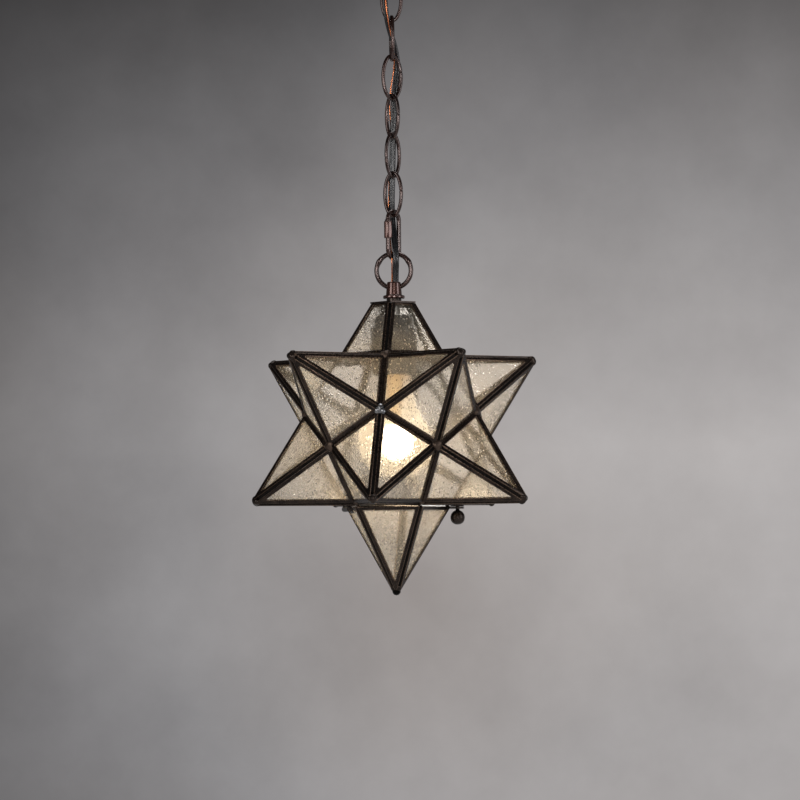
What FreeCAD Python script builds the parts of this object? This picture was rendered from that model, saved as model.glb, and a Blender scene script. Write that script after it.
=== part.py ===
import FreeCAD, Part
import math
import os

import Sketcher
from FreeCAD import Placement, Rotation, Vector

# Moravian star pendant: twelve five-sided points of framed glass round a dodecahedral core, hung by
# a quick link, a six-link chain and two ring loops from a ceiling canopy. The origin is on the
# ceiling, at the centre of the canopy's rim. +Z is up and the door's hinge is at the left, towards -X.

os.makedirs("parts", exist_ok=True)
doc = FreeCAD.newDocument("MoravianStarPendant")

# ---------------------------------------------------------------- driving sizes, in millimetres
DRIVING = [
    ("star_reach", 137.0),          # centre to where the outer faces of one point would meet
    ("star_yaw", -9.05),            # turn of the whole star about its stem, in degrees
    ("came_depth", 3.0),            # thickness of a pane's metal frame
    ("came_width", 3.0),            # width of the frame's bars, seen square to the pane
    ("came_web", 0.7),              # wall behind the glass groove
    ("cut_bar_width", 1.7),         # the bar under the top plate is narrower
    ("glass_thickness", 1.8),
    ("groove_clearance", 0.1),      # groove over glass
    ("pane_edge_clearance", 0.3),   # glass edge to the groove's bottom
    ("window_tip", 1.2),            # width of the window's blunt tip
    ("solder_fill", 0.6),           # share of the groove between two frames that solder fills
    ("seam_start", 4.5),            # seams stop this short of the core's corners
    ("tip_ball_radius", 3.7),
    ("tip_setback", 7.0),           # ball's centre below where the outer faces would meet
    ("frame_end_inset", 0.5),       # frames end this far below the ball's centre
    ("cut_setback", 32.4),          # the blunt top, below where the outer faces would meet
    ("plate_thickness", 1.2),
    ("plate_overhang", -0.2),
    ("door_gap", 0.3),
    ("hinge_barrel_radius", 2.3),
    ("barrel_stand_off", 0.34),     # barrel's side to the star's edge
    ("barrel_rise", 0.17),          # barrel's top above the leaf's underside
    ("hinge_pin_radius", 1.0),
    ("hinge_pin_overhang", 0.5),
    ("pin_clearance", 0.05),
    ("hinge_length", 30.0),
    ("hinge_fixed_knuckle", 8.0),
    ("knuckle_gap", 0.3),
    ("leaf_thickness", 0.8),
    ("leaf_width", 5.0),
    ("leaf_edge_gap", 0.1),
    ("lug_thickness", 1.5),
    ("lug_radius", 5.5),
    ("fixed_lug_width", 16.0),
    ("fixed_lug_gap", 0.2),         # lug's root to the star's corner
    ("door_lug_width", 10.0),
    ("door_lug_root", 1.6),         # how far the door's lug reaches in over the frames
    ("screw_stem_radius", 1.6),
    ("screw_hole_clearance", 0.5),
    ("screw_ball_radius", 6.0),
    ("screw_neck", 2.3),
    ("screw_overrun", 0.9),         # stem's end above the fixed lug
    ("screw_offset", 4.7),          # stem's centre beyond the door's corner
    ("stem_radius", 4.85),          # threaded stem, one eighth pipe size
    ("stem_bore", 3.5),
    ("thread_clearance", 0.08),
    ("stem_engagement", 8.34),      # length of a stem screwed into a collar
    ("stem_end_play", 0.2),
    ("stem_nut_flats", 14.0),
    ("stem_nut_height", 2.5),
    ("spacer_height", 2.9),
    ("spacer_radius", 6.15),
    ("socket_radius", 18.5),
    ("socket_height", 49.6),
    ("socket_drop", 11.3),          # plate's top to the socket's top
    ("socket_wall", 3.2),
    ("socket_head", 8.0),           # thickness of the holder's solid head
    ("stem_in_socket", 6.0),
    ("socket_shoulder_height", 6.0),
    ("socket_shoulder_step", 5.0),
    ("contact_room", 3.0),          # free height over the bulb's tip
    ("contact_radius", 3.2),
    ("shell_lift", 1.0),            # holder's rim to the screw shell
    ("shell_gap", 0.2),
    ("shell_plate", 0.8),
    ("shell_wall", 0.5),
    ("bulb_base_radius", 13.1),
    ("bulb_base_height", 23.0),
    ("bulb_base_wall", 0.6),
    ("bulb_base_inset", 1.5),       # holder's rim to the base's open end
    ("bulb_neck_length", 16.0),
    ("bulb_radius", 30.0),
    ("bulb_length", 108.0),
    ("bulb_wall", 1.0),
    ("thread_play", 0.4),
    ("loop_ring_diameter", 32.5),
    ("loop_wire", 3.9),
    ("loop_height", 39.5),          # ring's far end to the flange's face
    ("collar_height", 13.9),
    ("collar_top_radius", 5.7),
    ("collar_foot_radius", 6.7),
    ("collar_flange_radius", 9.0),
    ("collar_flange", 2.3),
    ("hang_gap", 0.4),              # play where one loop hangs in another
    ("link_wire", 3.1),
    ("link_length", 39.0),
    ("link_breadth", 19.0),
    ("quick_wire", 3.8),
    ("quick_length", 43.0),
    ("quick_breadth", 19.3),
    ("sleeve_flats", 6.4),
    ("sleeve_length", 14.0),
    ("sleeve_engaged", 3.5),
    ("sleeve_clearance", 0.08),
    ("canopy_radius", 63.5),
    ("canopy_depth", 27.0),
    ("canopy_wall", 1.0),
    ("canopy_rim_height", 6.0),
    ("canopy_shoulder_height", 12.0),
    ("canopy_shoulder_inset", 6.0),
    ("canopy_crown_drop", 3.0),     # the crown's height over the slope's end
    ("canopy_flat_margin", 3.0),    # flat crown beyond the collar's flange
    ("crossbar_length", 104.0),
    ("crossbar_width", 16.0),
    ("crossbar_thickness", 1.6),
    ("ceiling_gap", 2.0),           # ceiling to the crossbar
    ("crossbar_stem_overrun", 1.0),
    ("slot_travel", 8.0),
    ("slot_end_wall", 1.5),         # least wall between a slot and the bar's end
    ("box_screw_spacing", 83.0),
    ("box_screw_radius", 2.0),
    ("box_screw_length", 20.0),
    ("box_screw_play", 0.3),
    ("box_screw_head_height", 2.4),
    ("cord_diameter", 2.8),
    ("ground_diameter", 1.1),
]
# heights above the star's centre that follow from its reach
TIED = [
    ("tip_ball_centre", "=star_reach - tip_setback"),
    ("top_cut", "=star_reach - cut_setback"),
]
sheet = doc.addObject("Spreadsheet::Sheet", "Sizes")
for row, (alias, value) in enumerate(DRIVING + TIED, start=1):
    sheet.set(f"A{row}", alias)
    sheet.set(f"B{row}", str(value))
    sheet.setAlias(f"B{row}", alias)
doc.recompute()


class Size:
    """A number together with the spreadsheet expression that gives it."""

    def __init__(self, value, text):
        self.value = value
        self.text = text

    def join(self, other, sign, value):
        return Size(value, f"({self.text} {sign} {as_size(other).text})")

    def __add__(self, other):
        return self.join(other, "+", self.value + as_size(other).value)

    def __sub__(self, other):
        return self.join(other, "-", self.value - as_size(other).value)

    def __mul__(self, other):
        return self.join(other, "*", self.value * as_size(other).value)

    def __truediv__(self, other):
        return self.join(other, "/", self.value / as_size(other).value)


def as_size(number):
    return number if isinstance(number, Size) else Size(number, f"({number:.9f})")


class Sizes:
    """The sheet's cells by name, each as a Size."""

    def __getattr__(self, alias):
        return Size(float(sheet.get(alias)), f"Sizes.{alias}")


s = Sizes()
ZERO = as_size(0.0)

# ---------------------------------------------------------------- geometry of the star
GOLDEN = (1 + math.sqrt(5)) / 2
ROOT5 = math.sqrt(5)
# inradius of a dodecahedron whose edge is 1
EDGE_TO_INRADIUS = math.sqrt(250 + 110 * ROOT5) / 20
FIFTH = 72.0
# half the angle between two panes, the same over a ridge and in a valley
HALF_ANGLE = math.atan(GOLDEN)

# the middle planes of the panes: twelve planes at this distance, five panes in each
inradius = s.star_reach / ROOT5 - s.came_depth / 2
edge = inradius / EDGE_TO_INRADIUS
pane_height = edge * (GOLDEN * math.cos(math.radians(18)))
frame_inset = s.came_depth / (2 * GOLDEN)
tip_distance = inradius * ROOT5


def polar(radius, azimuth, height=0.0):
    """A point at a radius and an azimuth in degrees."""
    turn = math.radians(azimuth)
    return Vector(radius * math.cos(turn), radius * math.sin(turn), height)


def unit(vector):
    return vector / vector.Length


TOWARDS_VIEWER = -90.0
front = TOWARDS_VIEWER + s.star_yaw.value
rho = inradius.value
# directions of the twelve points, by name
POINTS = {"top": Vector(0, 0, 1)}
for number in range(5):
    POINTS[f"upper_{number + 1}"] = polar(2 / ROOT5, front + 36 + FIFTH * number, 1 / ROOT5)
for number in range(5):
    POINTS[f"lower_{number + 1}"] = polar(2 / ROOT5, front + FIFTH * number, -1 / ROOT5)
POINTS["door"] = Vector(0, 0, -1)

# corners of the core: each lies on three of the twelve planes
face_radius = edge.value / (2 * math.sin(math.radians(36)))
belt_radius = face_radius * GOLDEN
belt_height = rho / GOLDEN ** 3
CORNERS = []
for number in range(5):
    CORNERS.append(polar(face_radius, front + FIFTH * number, rho))
    CORNERS.append(polar(belt_radius, front + FIFTH * number, belt_height))
    CORNERS.append(polar(belt_radius, front + 36 + FIFTH * number, -belt_height))
    CORNERS.append(polar(face_radius, front + 36 + FIFTH * number, -rho))
SAME = 0.01


def faces_at(corner):
    """Names of the three points whose planes meet at a corner of the core."""
    return [name for name, way in POINTS.items() if abs(way.dot(corner) - rho) < SAME]


def panes_of(point):
    """Yield (corner, next corner, tip, outward normal) for the five panes of one point."""
    way = POINTS[point]
    around = [corner for corner in CORNERS if abs(way.dot(corner) - rho) < SAME]
    first = unit(around[0] - way * rho)
    second = way.cross(first)

    def angle(corner):
        return math.atan2(corner.dot(second), corner.dot(first))

    around.sort(key=angle)
    for index, corner in enumerate(around):
        following = around[(index + 1) % 5]
        shared = [n for n in faces_at(corner) if n in faces_at(following) and n != point]
        yield corner, following, way * tip_distance.value, POINTS[shared[0]]


# ---------------------------------------------------------------- helpers for bodies and sketches
def bind(thing, name, size):
    """Tie a property to the sheet by the expression of a Size."""
    thing.setExpression(name, size.text)


def place(thing, height, turn=0.0):
    """Put a sub-part on the stem's axis at a height, turned about the axis by degrees."""
    thing.Placement = Placement(Vector(0, 0, height.value), Rotation(Vector(0, 0, 1), turn))
    bind(thing, "Placement.Base.z", height)


def new_body(label):
    """An empty body with its label."""
    body = doc.addObject("PartDesign::Body", label)
    body.Label = label
    return body


def new_sketch(body, name, role):
    """A sketch on one of a body's own planes."""
    sketch = body.newObject("Sketcher::SketchObject", name)
    plane = [part for part in body.Origin.OriginFeatures if part.Role == role][0]
    sketch.AttachmentSupport = [(plane, "")]
    sketch.MapMode = "FlatFace"
    return sketch


def outline(sketch, points):
    """Closed polygon through (x, y) pairs of Size, each bound to the sheet."""
    spots = [Vector(x.value, y.value, 0) for x, y in points]
    count = len(spots)
    for index in range(count):
        line = Part.LineSegment(spots[index], spots[(index + 1) % count])
        sketch.addGeometry(line, False)
    for index in range(count):
        sketch.addConstraint(Sketcher.Constraint("Coincident", index, 2, (index + 1) % count, 1))
    for index, pair in enumerate(points):
        for kind, size, axis in (("DistanceX", pair[0], -2), ("DistanceY", pair[1], -1)):
            if size is ZERO:
                sketch.addConstraint(Sketcher.Constraint("PointOnObject", index, 1, axis))
                continue
            number = sketch.addConstraint(
                Sketcher.Constraint(kind, -1, 1, index, 1, size.value)
            )
            bind(sketch, f"Constraints[{number}]", size)


def pad(body, sketch, length, symmetric=False):
    """Pad a sketch by a bound length."""
    feature = body.newObject("PartDesign::Pad", "Pad")
    feature.Profile = sketch
    feature.SideType = "Symmetric" if symmetric else "One side"
    feature.Length = length.value
    bind(feature, "Length", length)
    return feature


def pocket(body, sketch, length):
    """Cut a sketch out over a bound length, half to each side of its plane."""
    feature = body.newObject("PartDesign::Pocket", "Pocket")
    feature.Profile = sketch
    feature.SideType = "Symmetric"
    feature.Length = length.value
    bind(feature, "Length", length)
    return feature


def turned(profile, sides):
    """A turned solid with flat facets: a closed profile of (radius, height) numbers."""
    faces = []
    count = len(profile)

    def spot(index, step):
        radius, height = profile[index % count]
        turn = 2 * math.pi * (step + 0.5) / sides
        return Vector(radius * math.cos(turn), radius * math.sin(turn), height)

    for index in range(count):
        for step in range(sides):
            loop = [spot(index, step), spot(index, step + 1)]
            loop += [spot(index + 1, step + 1), spot(index + 1, step)]
            corners = [c for n, c in enumerate(loop) if (c - loop[n - 1]).Length > 1e-6]
            if len(corners) > 2:
                faces.append(Part.Face(Part.makePolygon(corners + [corners[0]])))
    solid = Part.makeSolid(Part.makeShell(faces))
    if solid.Volume < 0:
        solid.reverse()
    return solid


def lathe(label, profile, height, sides=24):
    """A turned piece from a profile of (radius, height) Size pairs, set at a height."""
    pairs = [(radius.value, level.value) for radius, level in profile]
    feature = doc.addObject("Part::Feature", label)
    feature.Label = label
    feature.Shape = turned(pairs, sides)
    place(feature, height)
    return feature


def prism(label, sides, across_flats, height, bottom, turn=0.0):
    """A Part::Prism by its width across flats."""
    block = doc.addObject("Part::Prism", label)
    block.Polygon = sides
    bind(block, "Circumradius", across_flats / (2 * math.cos(math.pi / sides)))
    bind(block, "Height", height)
    place(block, bottom, turn)
    return block


ROUND_SIDES = 24


def rod(label, radius, height, bottom):
    """A round rod, as a prism of many sides whose corners lie on the round."""
    block = doc.addObject("Part::Prism", label)
    block.Polygon = ROUND_SIDES
    bind(block, "Circumradius", radius)
    bind(block, "Height", height)
    place(block, bottom)
    return block


def drill(label, radius, height, bottom):
    """A hole's tool, whose flats lie on the round."""
    return rod(label, radius / math.cos(math.pi / ROUND_SIDES), height, bottom)


def cut(label, base, tool):
    """One solid less another, kept as a linked feature."""
    result = doc.addObject("Part::Cut", label)
    result.Label = label
    result.Base = base
    result.Tool = tool
    return result


def set_shape(label, shape, placement=None):
    """A document object that holds a worked-out shape."""
    feature = doc.addObject("Part::Feature", label)
    feature.Label = label
    feature.Shape = shape
    feature.Placement = placement or Placement()
    return feature


def placed(shape, placement):
    """A copy of a shape, moved by a placement."""
    copy = shape.copy()
    copy.Placement = placement.multiply(copy.Placement)
    return copy


# ---------------------------------------------------------------- levels down from the ceiling
# Each loop hangs in the one above it with a little play.
canopy_face = ZERO - s.canopy_depth
upper_flange = canopy_face - s.spacer_height
upper_ring_end = upper_flange - s.loop_height
LINKS = 6
link_tops = []
lowest = upper_ring_end + s.loop_wire
for number in range(LINKS):
    link_tops.append(lowest + s.hang_gap + s.link_wire)
    lowest = link_tops[-1] - s.link_length + s.link_wire
quick_top = lowest + s.hang_gap + s.quick_wire
lower_ring_end = quick_top - s.quick_length + s.quick_wire + s.hang_gap + s.loop_wire
lower_flange = lower_ring_end - s.loop_height
plate_top = lower_flange - s.spacer_height
centre = plate_top - s.plate_thickness - s.top_cut

# ---------------------------------------------------------------- panes: frame and glass
# Half a pane is a right triangle of 72 degrees at the base, so a line set in from the sloping side
# by some inset crosses a height at rise / tan 72 + inset / sin 72.
LEAN = 1 / math.tan(math.radians(72))
SKEW = 1 / math.sin(math.radians(72))
BLUNT = 1 / math.sin(math.radians(18))
NARROW = 1 / (2 * math.tan(math.radians(18)))


def pane_outline(inset, top):
    """Corners of a blunt triangle set in from the pane's ideal outline."""
    low = inset * LEAN + inset * SKEW
    high = top * LEAN + inset * SKEW
    return [(low, inset), (edge - low, inset), (edge - high, top), (high, top)]


def blunt_tip(inset):
    """Height at which an inset outline has shrunk to the window's blunt tip."""
    return pane_height - inset * BLUNT - s.window_tip * NARROW


def height_in_pane(axial):
    """Height in the pane of the frame's outer corner at a distance along the point's axis."""
    return (axial - inradius - s.came_depth / (2 * ROOT5)) * (ROOT5 / 2)


groove = s.glass_thickness + s.groove_clearance
window_inset = frame_inset + s.came_width
groove_inset = frame_inset + s.came_web
glass_inset = groove_inset + s.pane_edge_clearance


def frame_body(label, frame_top, window_top, groove_top):
    """A pane's frame: a flat bar ring with a groove for the glass round its inside."""
    body = new_body(label)
    ring = new_sketch(body, "Outline", "XY_Plane")
    outline(ring, pane_outline(frame_inset, frame_top))
    pad(body, ring, s.came_depth, symmetric=True)
    window = new_sketch(body, "Window", "XY_Plane")
    outline(window, pane_outline(window_inset, window_top))
    pocket(body, window, s.came_depth * 2)
    channel = new_sketch(body, "Groove", "XY_Plane")
    outline(channel, pane_outline(groove_inset, groove_top))
    pocket(body, channel, groove)
    return body


def glass_body(label, top):
    """A pane of glass, smaller than its groove by the edge clearance."""
    body = new_body(label)
    sheet_outline = new_sketch(body, "Outline", "XY_Plane")
    outline(sheet_outline, pane_outline(glass_inset, top))
    pad(body, sheet_outline, s.glass_thickness, symmetric=True)
    return body


frame_end = s.tip_ball_centre - s.frame_end_inset
tip_frame_top = height_in_pane(frame_end)
cut_frame_top = height_in_pane(s.top_cut)
point_frame = frame_body(
    "PointFrame", tip_frame_top, blunt_tip(window_inset), blunt_tip(groove_inset)
)
point_glass = glass_body("PointGlass", blunt_tip(glass_inset))
cut_frame = frame_body(
    "CutFrame", cut_frame_top, cut_frame_top - s.cut_bar_width, cut_frame_top - s.came_web
)
cut_glass = glass_body("CutGlass", cut_frame_top - s.came_web - s.pane_edge_clearance)
doc.recompute()

# the door hangs lower, so that its inner edges clear the star's underside by the door gap
door_drop = s.came_depth.value / ROOT5 + s.door_gap.value
star_place = Placement(Vector(0, 0, centre.value), Rotation())
door_place = Placement(Vector(0, 0, centre.value - door_drop), Rotation())


def five(template, point):
    """Five copies of a pane's piece, set round one point."""
    copies = []
    for corner, following, tip, outward in panes_of(point):
        along = unit(following - corner)
        up = unit(tip - (corner + following) / 2)
        if along.cross(up).dot(outward) < 0:
            corner, along = following, along * -1
        turn = Rotation(along, up, along.cross(up), "XYZ")
        copies.append(placed(template.Shape, Placement(corner, turn)))
    return Part.makeCompound(copies)


nodes = []
for point in POINTS:
    frame_template = cut_frame if point == "top" else point_frame
    glass_template = cut_glass if point == "top" else point_glass
    where = door_place if point == "door" else star_place
    nodes.append(set_shape(f"{point}_came", five(frame_template, point), where))
    nodes.append(set_shape(f"{point}_glass", five(glass_template, point), where))

# ---------------------------------------------------------------- solder
# A ridge's groove opens outwards from the frames' touching inner corners, a valley's opens inwards
# from their touching outer corners. Solder fills each to the same share of the frames' depth.
corner_offset = s.came_depth.value / 2 / math.sin(HALF_ANGLE)
fill = s.came_depth.value * s.solder_fill.value


def seam(start, end, way_one, way_two, outward, margin_start, margin_end):
    """A triangular bead along an edge; outward is 1 on a ridge and -1 in a valley."""
    along = unit(end - start)
    root = unit(way_one + way_two) * (-outward * corner_offset)
    first = start + along * margin_start + root
    wedge = [first, first + way_one * (outward * fill), first + way_two * (outward * fill)]
    length = (end - start).Length - margin_start - margin_end
    face = Part.Face(Part.makePolygon(wedge + [wedge[0]]))
    return face.extrude(along * length)


def ridge_end(point):
    """Length of ridge left free at a point's tip."""
    axial = s.top_cut.value if point == "top" else frame_end.value
    rise = tip_distance.value - rho
    ridge = math.hypot(rise, face_radius)
    return (tip_distance.value - axial + s.came_depth.value) * ridge / rise


star_seams = []
door_seams = []
for corner in CORNERS:
    names = faces_at(corner)
    for name in names:
        first_way, second_way = [POINTS[other] for other in names if other != name]
        bead = seam(
            corner,
            POINTS[name] * tip_distance.value,
            first_way,
            second_way,
            1,
            s.seam_start.value,
            ridge_end(name),
        )
        (door_seams if name == "door" else star_seams).append(bead)
order = list(POINTS)
for point in order:
    for corner, following, tip, outward in panes_of(point):
        neighbour = [name for name in order if POINTS[name] == outward][0]
        if "door" in (point, neighbour) or order.index(point) > order.index(neighbour):
            continue
        star_seams.append(
            seam(
                corner,
                following,
                POINTS[point],
                outward,
                -1,
                s.seam_start.value,
                s.seam_start.value,
            )
        )


CAP_SIDES = 10
CAP_RINGS = 3


def tip_cap(point):
    """The rounded bead that closes a point, standing on the blunt ends of its frames."""
    radius = s.tip_ball_radius.value
    lowest = math.asin((frame_end.value - s.tip_ball_centre.value) / radius)
    profile = [(0.0, radius * math.sin(lowest))]
    for ring in range(CAP_RINGS):
        rise = lowest + (math.pi / 2 - lowest) * ring / CAP_RINGS
        profile.append((radius * math.cos(rise), radius * math.sin(rise)))
    profile.append((0.0, radius))
    way = POINTS[point]
    turn = Rotation(Vector(0, 0, 1), way)
    return placed(turned(profile, CAP_SIDES), Placement(way * s.tip_ball_centre.value, turn))


nodes.append(set_shape("seam_solder", Part.makeCompound(star_seams), star_place))
caps = [tip_cap(point) for point in order if point not in ("top", "door")]
nodes.append(set_shape("tip_solder", Part.makeCompound(caps), star_place))
nodes.append(set_shape("door_solder", Part.makeCompound(door_seams + [tip_cap("door")]), door_place))

# ---------------------------------------------------------------- top plate, stem, nuts
plate_radius = (s.star_reach - s.top_cut) * (1 / GOLDEN) + s.plate_overhang
plate_bottom = plate_top - s.plate_thickness
plate_flats = plate_radius * (2 * math.cos(math.pi / 5))
plate_blank = prism("PlateBlank", 5, plate_flats, s.plate_thickness, plate_bottom, front)
plate_hole = drill(
    "PlateHole",
    s.stem_radius + s.thread_clearance,
    s.plate_thickness * 3,
    plate_bottom - s.plate_thickness,
)
nodes.append(cut("top_plate", plate_blank, plate_hole))

socket_top = plate_top - s.socket_drop
stem_top = lower_flange + s.stem_engagement
stem_bottom = socket_top - s.stem_in_socket


def tube(label, outer, inner, bottom, top):
    """A round tube between two levels."""
    length = top - bottom
    outside = rod(label + "_outside", outer, length, bottom)
    inside = drill(label + "_inside", inner, length * 3, bottom - length)
    return cut(label, outside, inside)


def nut(label, flats, height, bottom, bore, turn=0.0):
    """A hexagon nut with a plain bore."""
    blank = prism(label + "_blank", 6, flats, height, bottom, turn)
    hole = drill(label + "_hole", bore, height * 3, bottom - height)
    return cut(label, blank, hole)


thread_bore = s.stem_radius + s.thread_clearance
nodes.append(tube("star_stem", s.stem_radius, s.stem_bore, stem_bottom, stem_top))
nodes.append(tube("stem_spacer", s.spacer_radius, thread_bore, plate_top, lower_flange))
nodes.append(
    nut("stem_nut", s.stem_nut_flats, s.stem_nut_height, plate_bottom - s.stem_nut_height, thread_bore)
)


# ---------------------------------------------------------------- bent wire: loops and links
def wire_loop(path, radius, sides, closed=True):
    """Bent wire with flat facets along points of the XZ plane, mitred at each point."""
    side = Vector(0, 1, 0)
    count = len(path)
    sections = []
    for index, point in enumerate(path):
        before = path[index - 1] if closed or index else None
        after = path[(index + 1) % count] if closed or index + 1 < count else None
        ways = []
        if before is not None:
            ways.append(unit(point - before))
        if after is not None:
            ways.append(unit(after - point))
        middle = unit(ways[0] + ways[-1])
        stretch = 1 / middle.dot(ways[0])
        across = side.cross(middle) * stretch
        ring = []
        for step in range(sides):
            turn = 2 * math.pi * (step + 0.5) / sides
            ring.append(point + side * (radius * math.cos(turn)) + across * (radius * math.sin(turn)))
        sections.append(ring)
    faces = []
    spans = count if closed else count - 1
    for index in range(spans):
        here = sections[index]
        there = sections[(index + 1) % count]
        for step in range(sides):
            nxt = (step + 1) % sides
            loop = [here[step], here[nxt], there[nxt], there[step], here[step]]
            faces.append(Part.Face(Part.makePolygon(loop)))
    if not closed:
        for ring in (sections[0], sections[-1]):
            faces.append(Part.Face(Part.makePolygon(ring + [ring[0]])))
    solid = Part.makeSolid(Part.makeShell(faces))
    if solid.Volume < 0:
        solid.reverse()
    return solid


WIRE_SIDES = 8
RING_STEPS = 24
LINK_STEPS = 20


def oval(half_height, half_breadth, steps):
    """Points of an upright ellipse in the XZ plane."""
    spots = []
    for step in range(steps):
        turn = 2 * math.pi * step / steps
        spots.append(Vector(half_breadth * math.sin(turn), 0, half_height * math.cos(turn)))
    return spots


def ring_loop(label, flange, up, yaw):
    """A ring cast on a tapered, flanged collar, bored for the stem and the cord."""
    ring_radius = (s.loop_ring_diameter.value - s.loop_wire.value) / 2
    ring_middle = s.loop_height.value - s.loop_ring_diameter.value / 2
    ring = wire_loop(oval(ring_radius, ring_radius, RING_STEPS), s.loop_wire.value / 2, WIRE_SIDES)
    ring.translate(Vector(0, 0, ring_middle))
    collar = turned(
        [
            (0, 0),
            (s.collar_flange_radius.value, 0),
            (s.collar_flange_radius.value, s.collar_flange.value),
            (s.collar_foot_radius.value, s.collar_flange.value),
            (s.collar_top_radius.value, s.collar_height.value),
            (0, s.collar_height.value),
        ],
        ROUND_SIDES,
    )
    widen = 1 / math.cos(math.pi / ROUND_SIDES)
    seat = s.stem_engagement.value + s.stem_end_play.value
    wide = thread_bore.value * widen
    narrow = s.stem_bore.value * widen
    far = s.collar_height.value + 1
    bore = [(0, -1), (wide, -1), (wide, seat), (narrow, seat), (narrow, far), (0, far)]
    casting = ring.fuse(collar).cut(turned(bore, ROUND_SIDES))
    flip = Rotation(Vector(1, 0, 0), 0 if up else 180)
    turn = Rotation(Vector(0, 0, 1), yaw)
    return set_shape(label, casting, Placement(Vector(0, 0, flange.value), turn.multiply(flip)))


UPPER_RING_YAW = 90.0
LINK_YAWS = [0.0, -84.0, 22.0, -53.0, 48.0, -32.5]
QUICK_YAW = 55.0
LOWER_RING_YAW = -8.0
nodes.append(ring_loop("star_loop", lower_flange, True, LOWER_RING_YAW))
nodes.append(ring_loop("canopy_loop", upper_flange, False, UPPER_RING_YAW))

link_path = oval(
    (s.link_length.value - s.link_wire.value) / 2,
    (s.link_breadth.value - s.link_wire.value) / 2,
    LINK_STEPS,
)
link_shape = wire_loop(link_path, s.link_wire.value / 2, WIRE_SIDES)
for number, (top, yaw) in enumerate(zip(link_tops, LINK_YAWS), start=1):
    middle = top.value - s.link_length.value / 2
    spot = Placement(Vector(0, 0, middle), Rotation(Vector(0, 0, 1), yaw))
    nodes.append(set_shape(f"chain_link_{number}", link_shape, spot))

# ---------------------------------------------------------------- quick link and its sleeve
# The left arm is cut: the sleeve, screwed up against a shoulder, bridges the mouth.
QUICK_ARC_STEPS = 10
quick_half = (s.quick_length.value - s.quick_wire.value) / 2
quick_arm = (s.quick_breadth.value - s.quick_wire.value) / 2
arm_end = quick_half - quick_arm
SHOULDER_HEIGHT = 1.2
SHOULDER_STEP = 0.4
sleeve_top = arm_end - SHOULDER_HEIGHT
sleeve_bottom = sleeve_top - s.sleeve_length.value
mouth_top = sleeve_top - s.sleeve_engaged.value
mouth_bottom = sleeve_bottom + s.sleeve_engaged.value
quick_path = [Vector(-quick_arm, 0, mouth_bottom)]
for step in range(QUICK_ARC_STEPS + 1):
    turn = math.pi + math.pi * step / QUICK_ARC_STEPS
    quick_path.append(Vector(quick_arm * math.cos(turn), 0, -arm_end + quick_arm * math.sin(turn)))
for step in range(QUICK_ARC_STEPS + 1):
    turn = math.pi * step / QUICK_ARC_STEPS
    quick_path.append(Vector(quick_arm * math.cos(turn), 0, arm_end + quick_arm * math.sin(turn)))
quick_path.append(Vector(-quick_arm, 0, mouth_top))
quick_shape = wire_loop(quick_path, s.quick_wire.value / 2, WIRE_SIDES, closed=False)
shoulder = Part.makeCylinder(
    s.sleeve_flats.value / 2 - SHOULDER_STEP, SHOULDER_HEIGHT, Vector(-quick_arm, 0, sleeve_top)
)
quick_place = Placement(
    Vector(0, 0, quick_top.value - s.quick_length.value / 2), Rotation(Vector(0, 0, 1), QUICK_YAW)
)
nodes.append(set_shape("quick_link", quick_shape.fuse(shoulder), quick_place))
hexagon = []
for step in range(7):
    corner = polar(s.sleeve_flats.value / math.sqrt(3), 60.0 * step)
    hexagon.append(corner + Vector(-quick_arm, 0, sleeve_bottom))
sleeve_blank = Part.Face(Part.makePolygon(hexagon)).extrude(Vector(0, 0, s.sleeve_length.value))
sleeve_bore = Part.makeCylinder(
    s.quick_wire.value / 2 + s.sleeve_clearance.value,
    s.sleeve_length.value * 2,
    Vector(-quick_arm, 0, sleeve_bottom - s.sleeve_length.value / 2),
)
nodes.append(set_shape("quick_link_sleeve", sleeve_blank.cut(sleeve_bore), quick_place))

# ---------------------------------------------------------------- lamp holder and bulb
# The holder is a cup with a solid head that the stem screws into. A ledge over the bulb's tip
# carries the screw shell's top plate and the centre contact.
socket_bottom = socket_top - s.socket_height
holder_bore = s.socket_radius - s.socket_wall
shell_inner = s.bulb_base_radius + s.thread_play
shell_outer = shell_inner + s.shell_wall
bulb_seat = s.bulb_base_height + s.bulb_base_inset
ledge = bulb_seat + s.contact_room
head_underside = s.socket_height - s.socket_head
holder_profile = [
    (thread_bore, s.socket_height),
    (thread_bore, head_underside),
    (ZERO, head_underside),
    (ZERO, ledge),
    (holder_bore, ledge),
    (holder_bore, ZERO),
    (s.socket_radius, ZERO),
    (s.socket_radius, s.socket_height - s.socket_shoulder_height),
    (s.socket_radius - s.socket_shoulder_step, s.socket_height),
]
nodes.append(lathe("socket_body", holder_profile, socket_bottom))
CONTACT_MARGIN = as_size(0.8)
shell_top = ledge - s.shell_gap
shell_plate_bottom = shell_top - s.shell_plate
shell_hole = s.contact_radius + CONTACT_MARGIN
shell_profile = [
    (shell_inner, s.shell_lift),
    (shell_outer, s.shell_lift),
    (shell_outer, shell_plate_bottom),
    (holder_bore - s.shell_gap, shell_plate_bottom),
    (holder_bore - s.shell_gap, shell_top),
    (shell_hole, shell_top),
    (shell_hole, shell_plate_bottom),
    (shell_inner, shell_plate_bottom),
]
nodes.append(lathe("socket_screw_shell", shell_profile, socket_bottom))
CONTACT_GAP = as_size(0.3)
contact_top = ledge - 0.1
contact_profile = [
    (ZERO, bulb_seat + CONTACT_GAP),
    (s.contact_radius, bulb_seat + CONTACT_GAP),
    (s.contact_radius, contact_top),
    (ZERO, contact_top),
]
nodes.append(lathe("socket_contact", contact_profile, socket_bottom))
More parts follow.
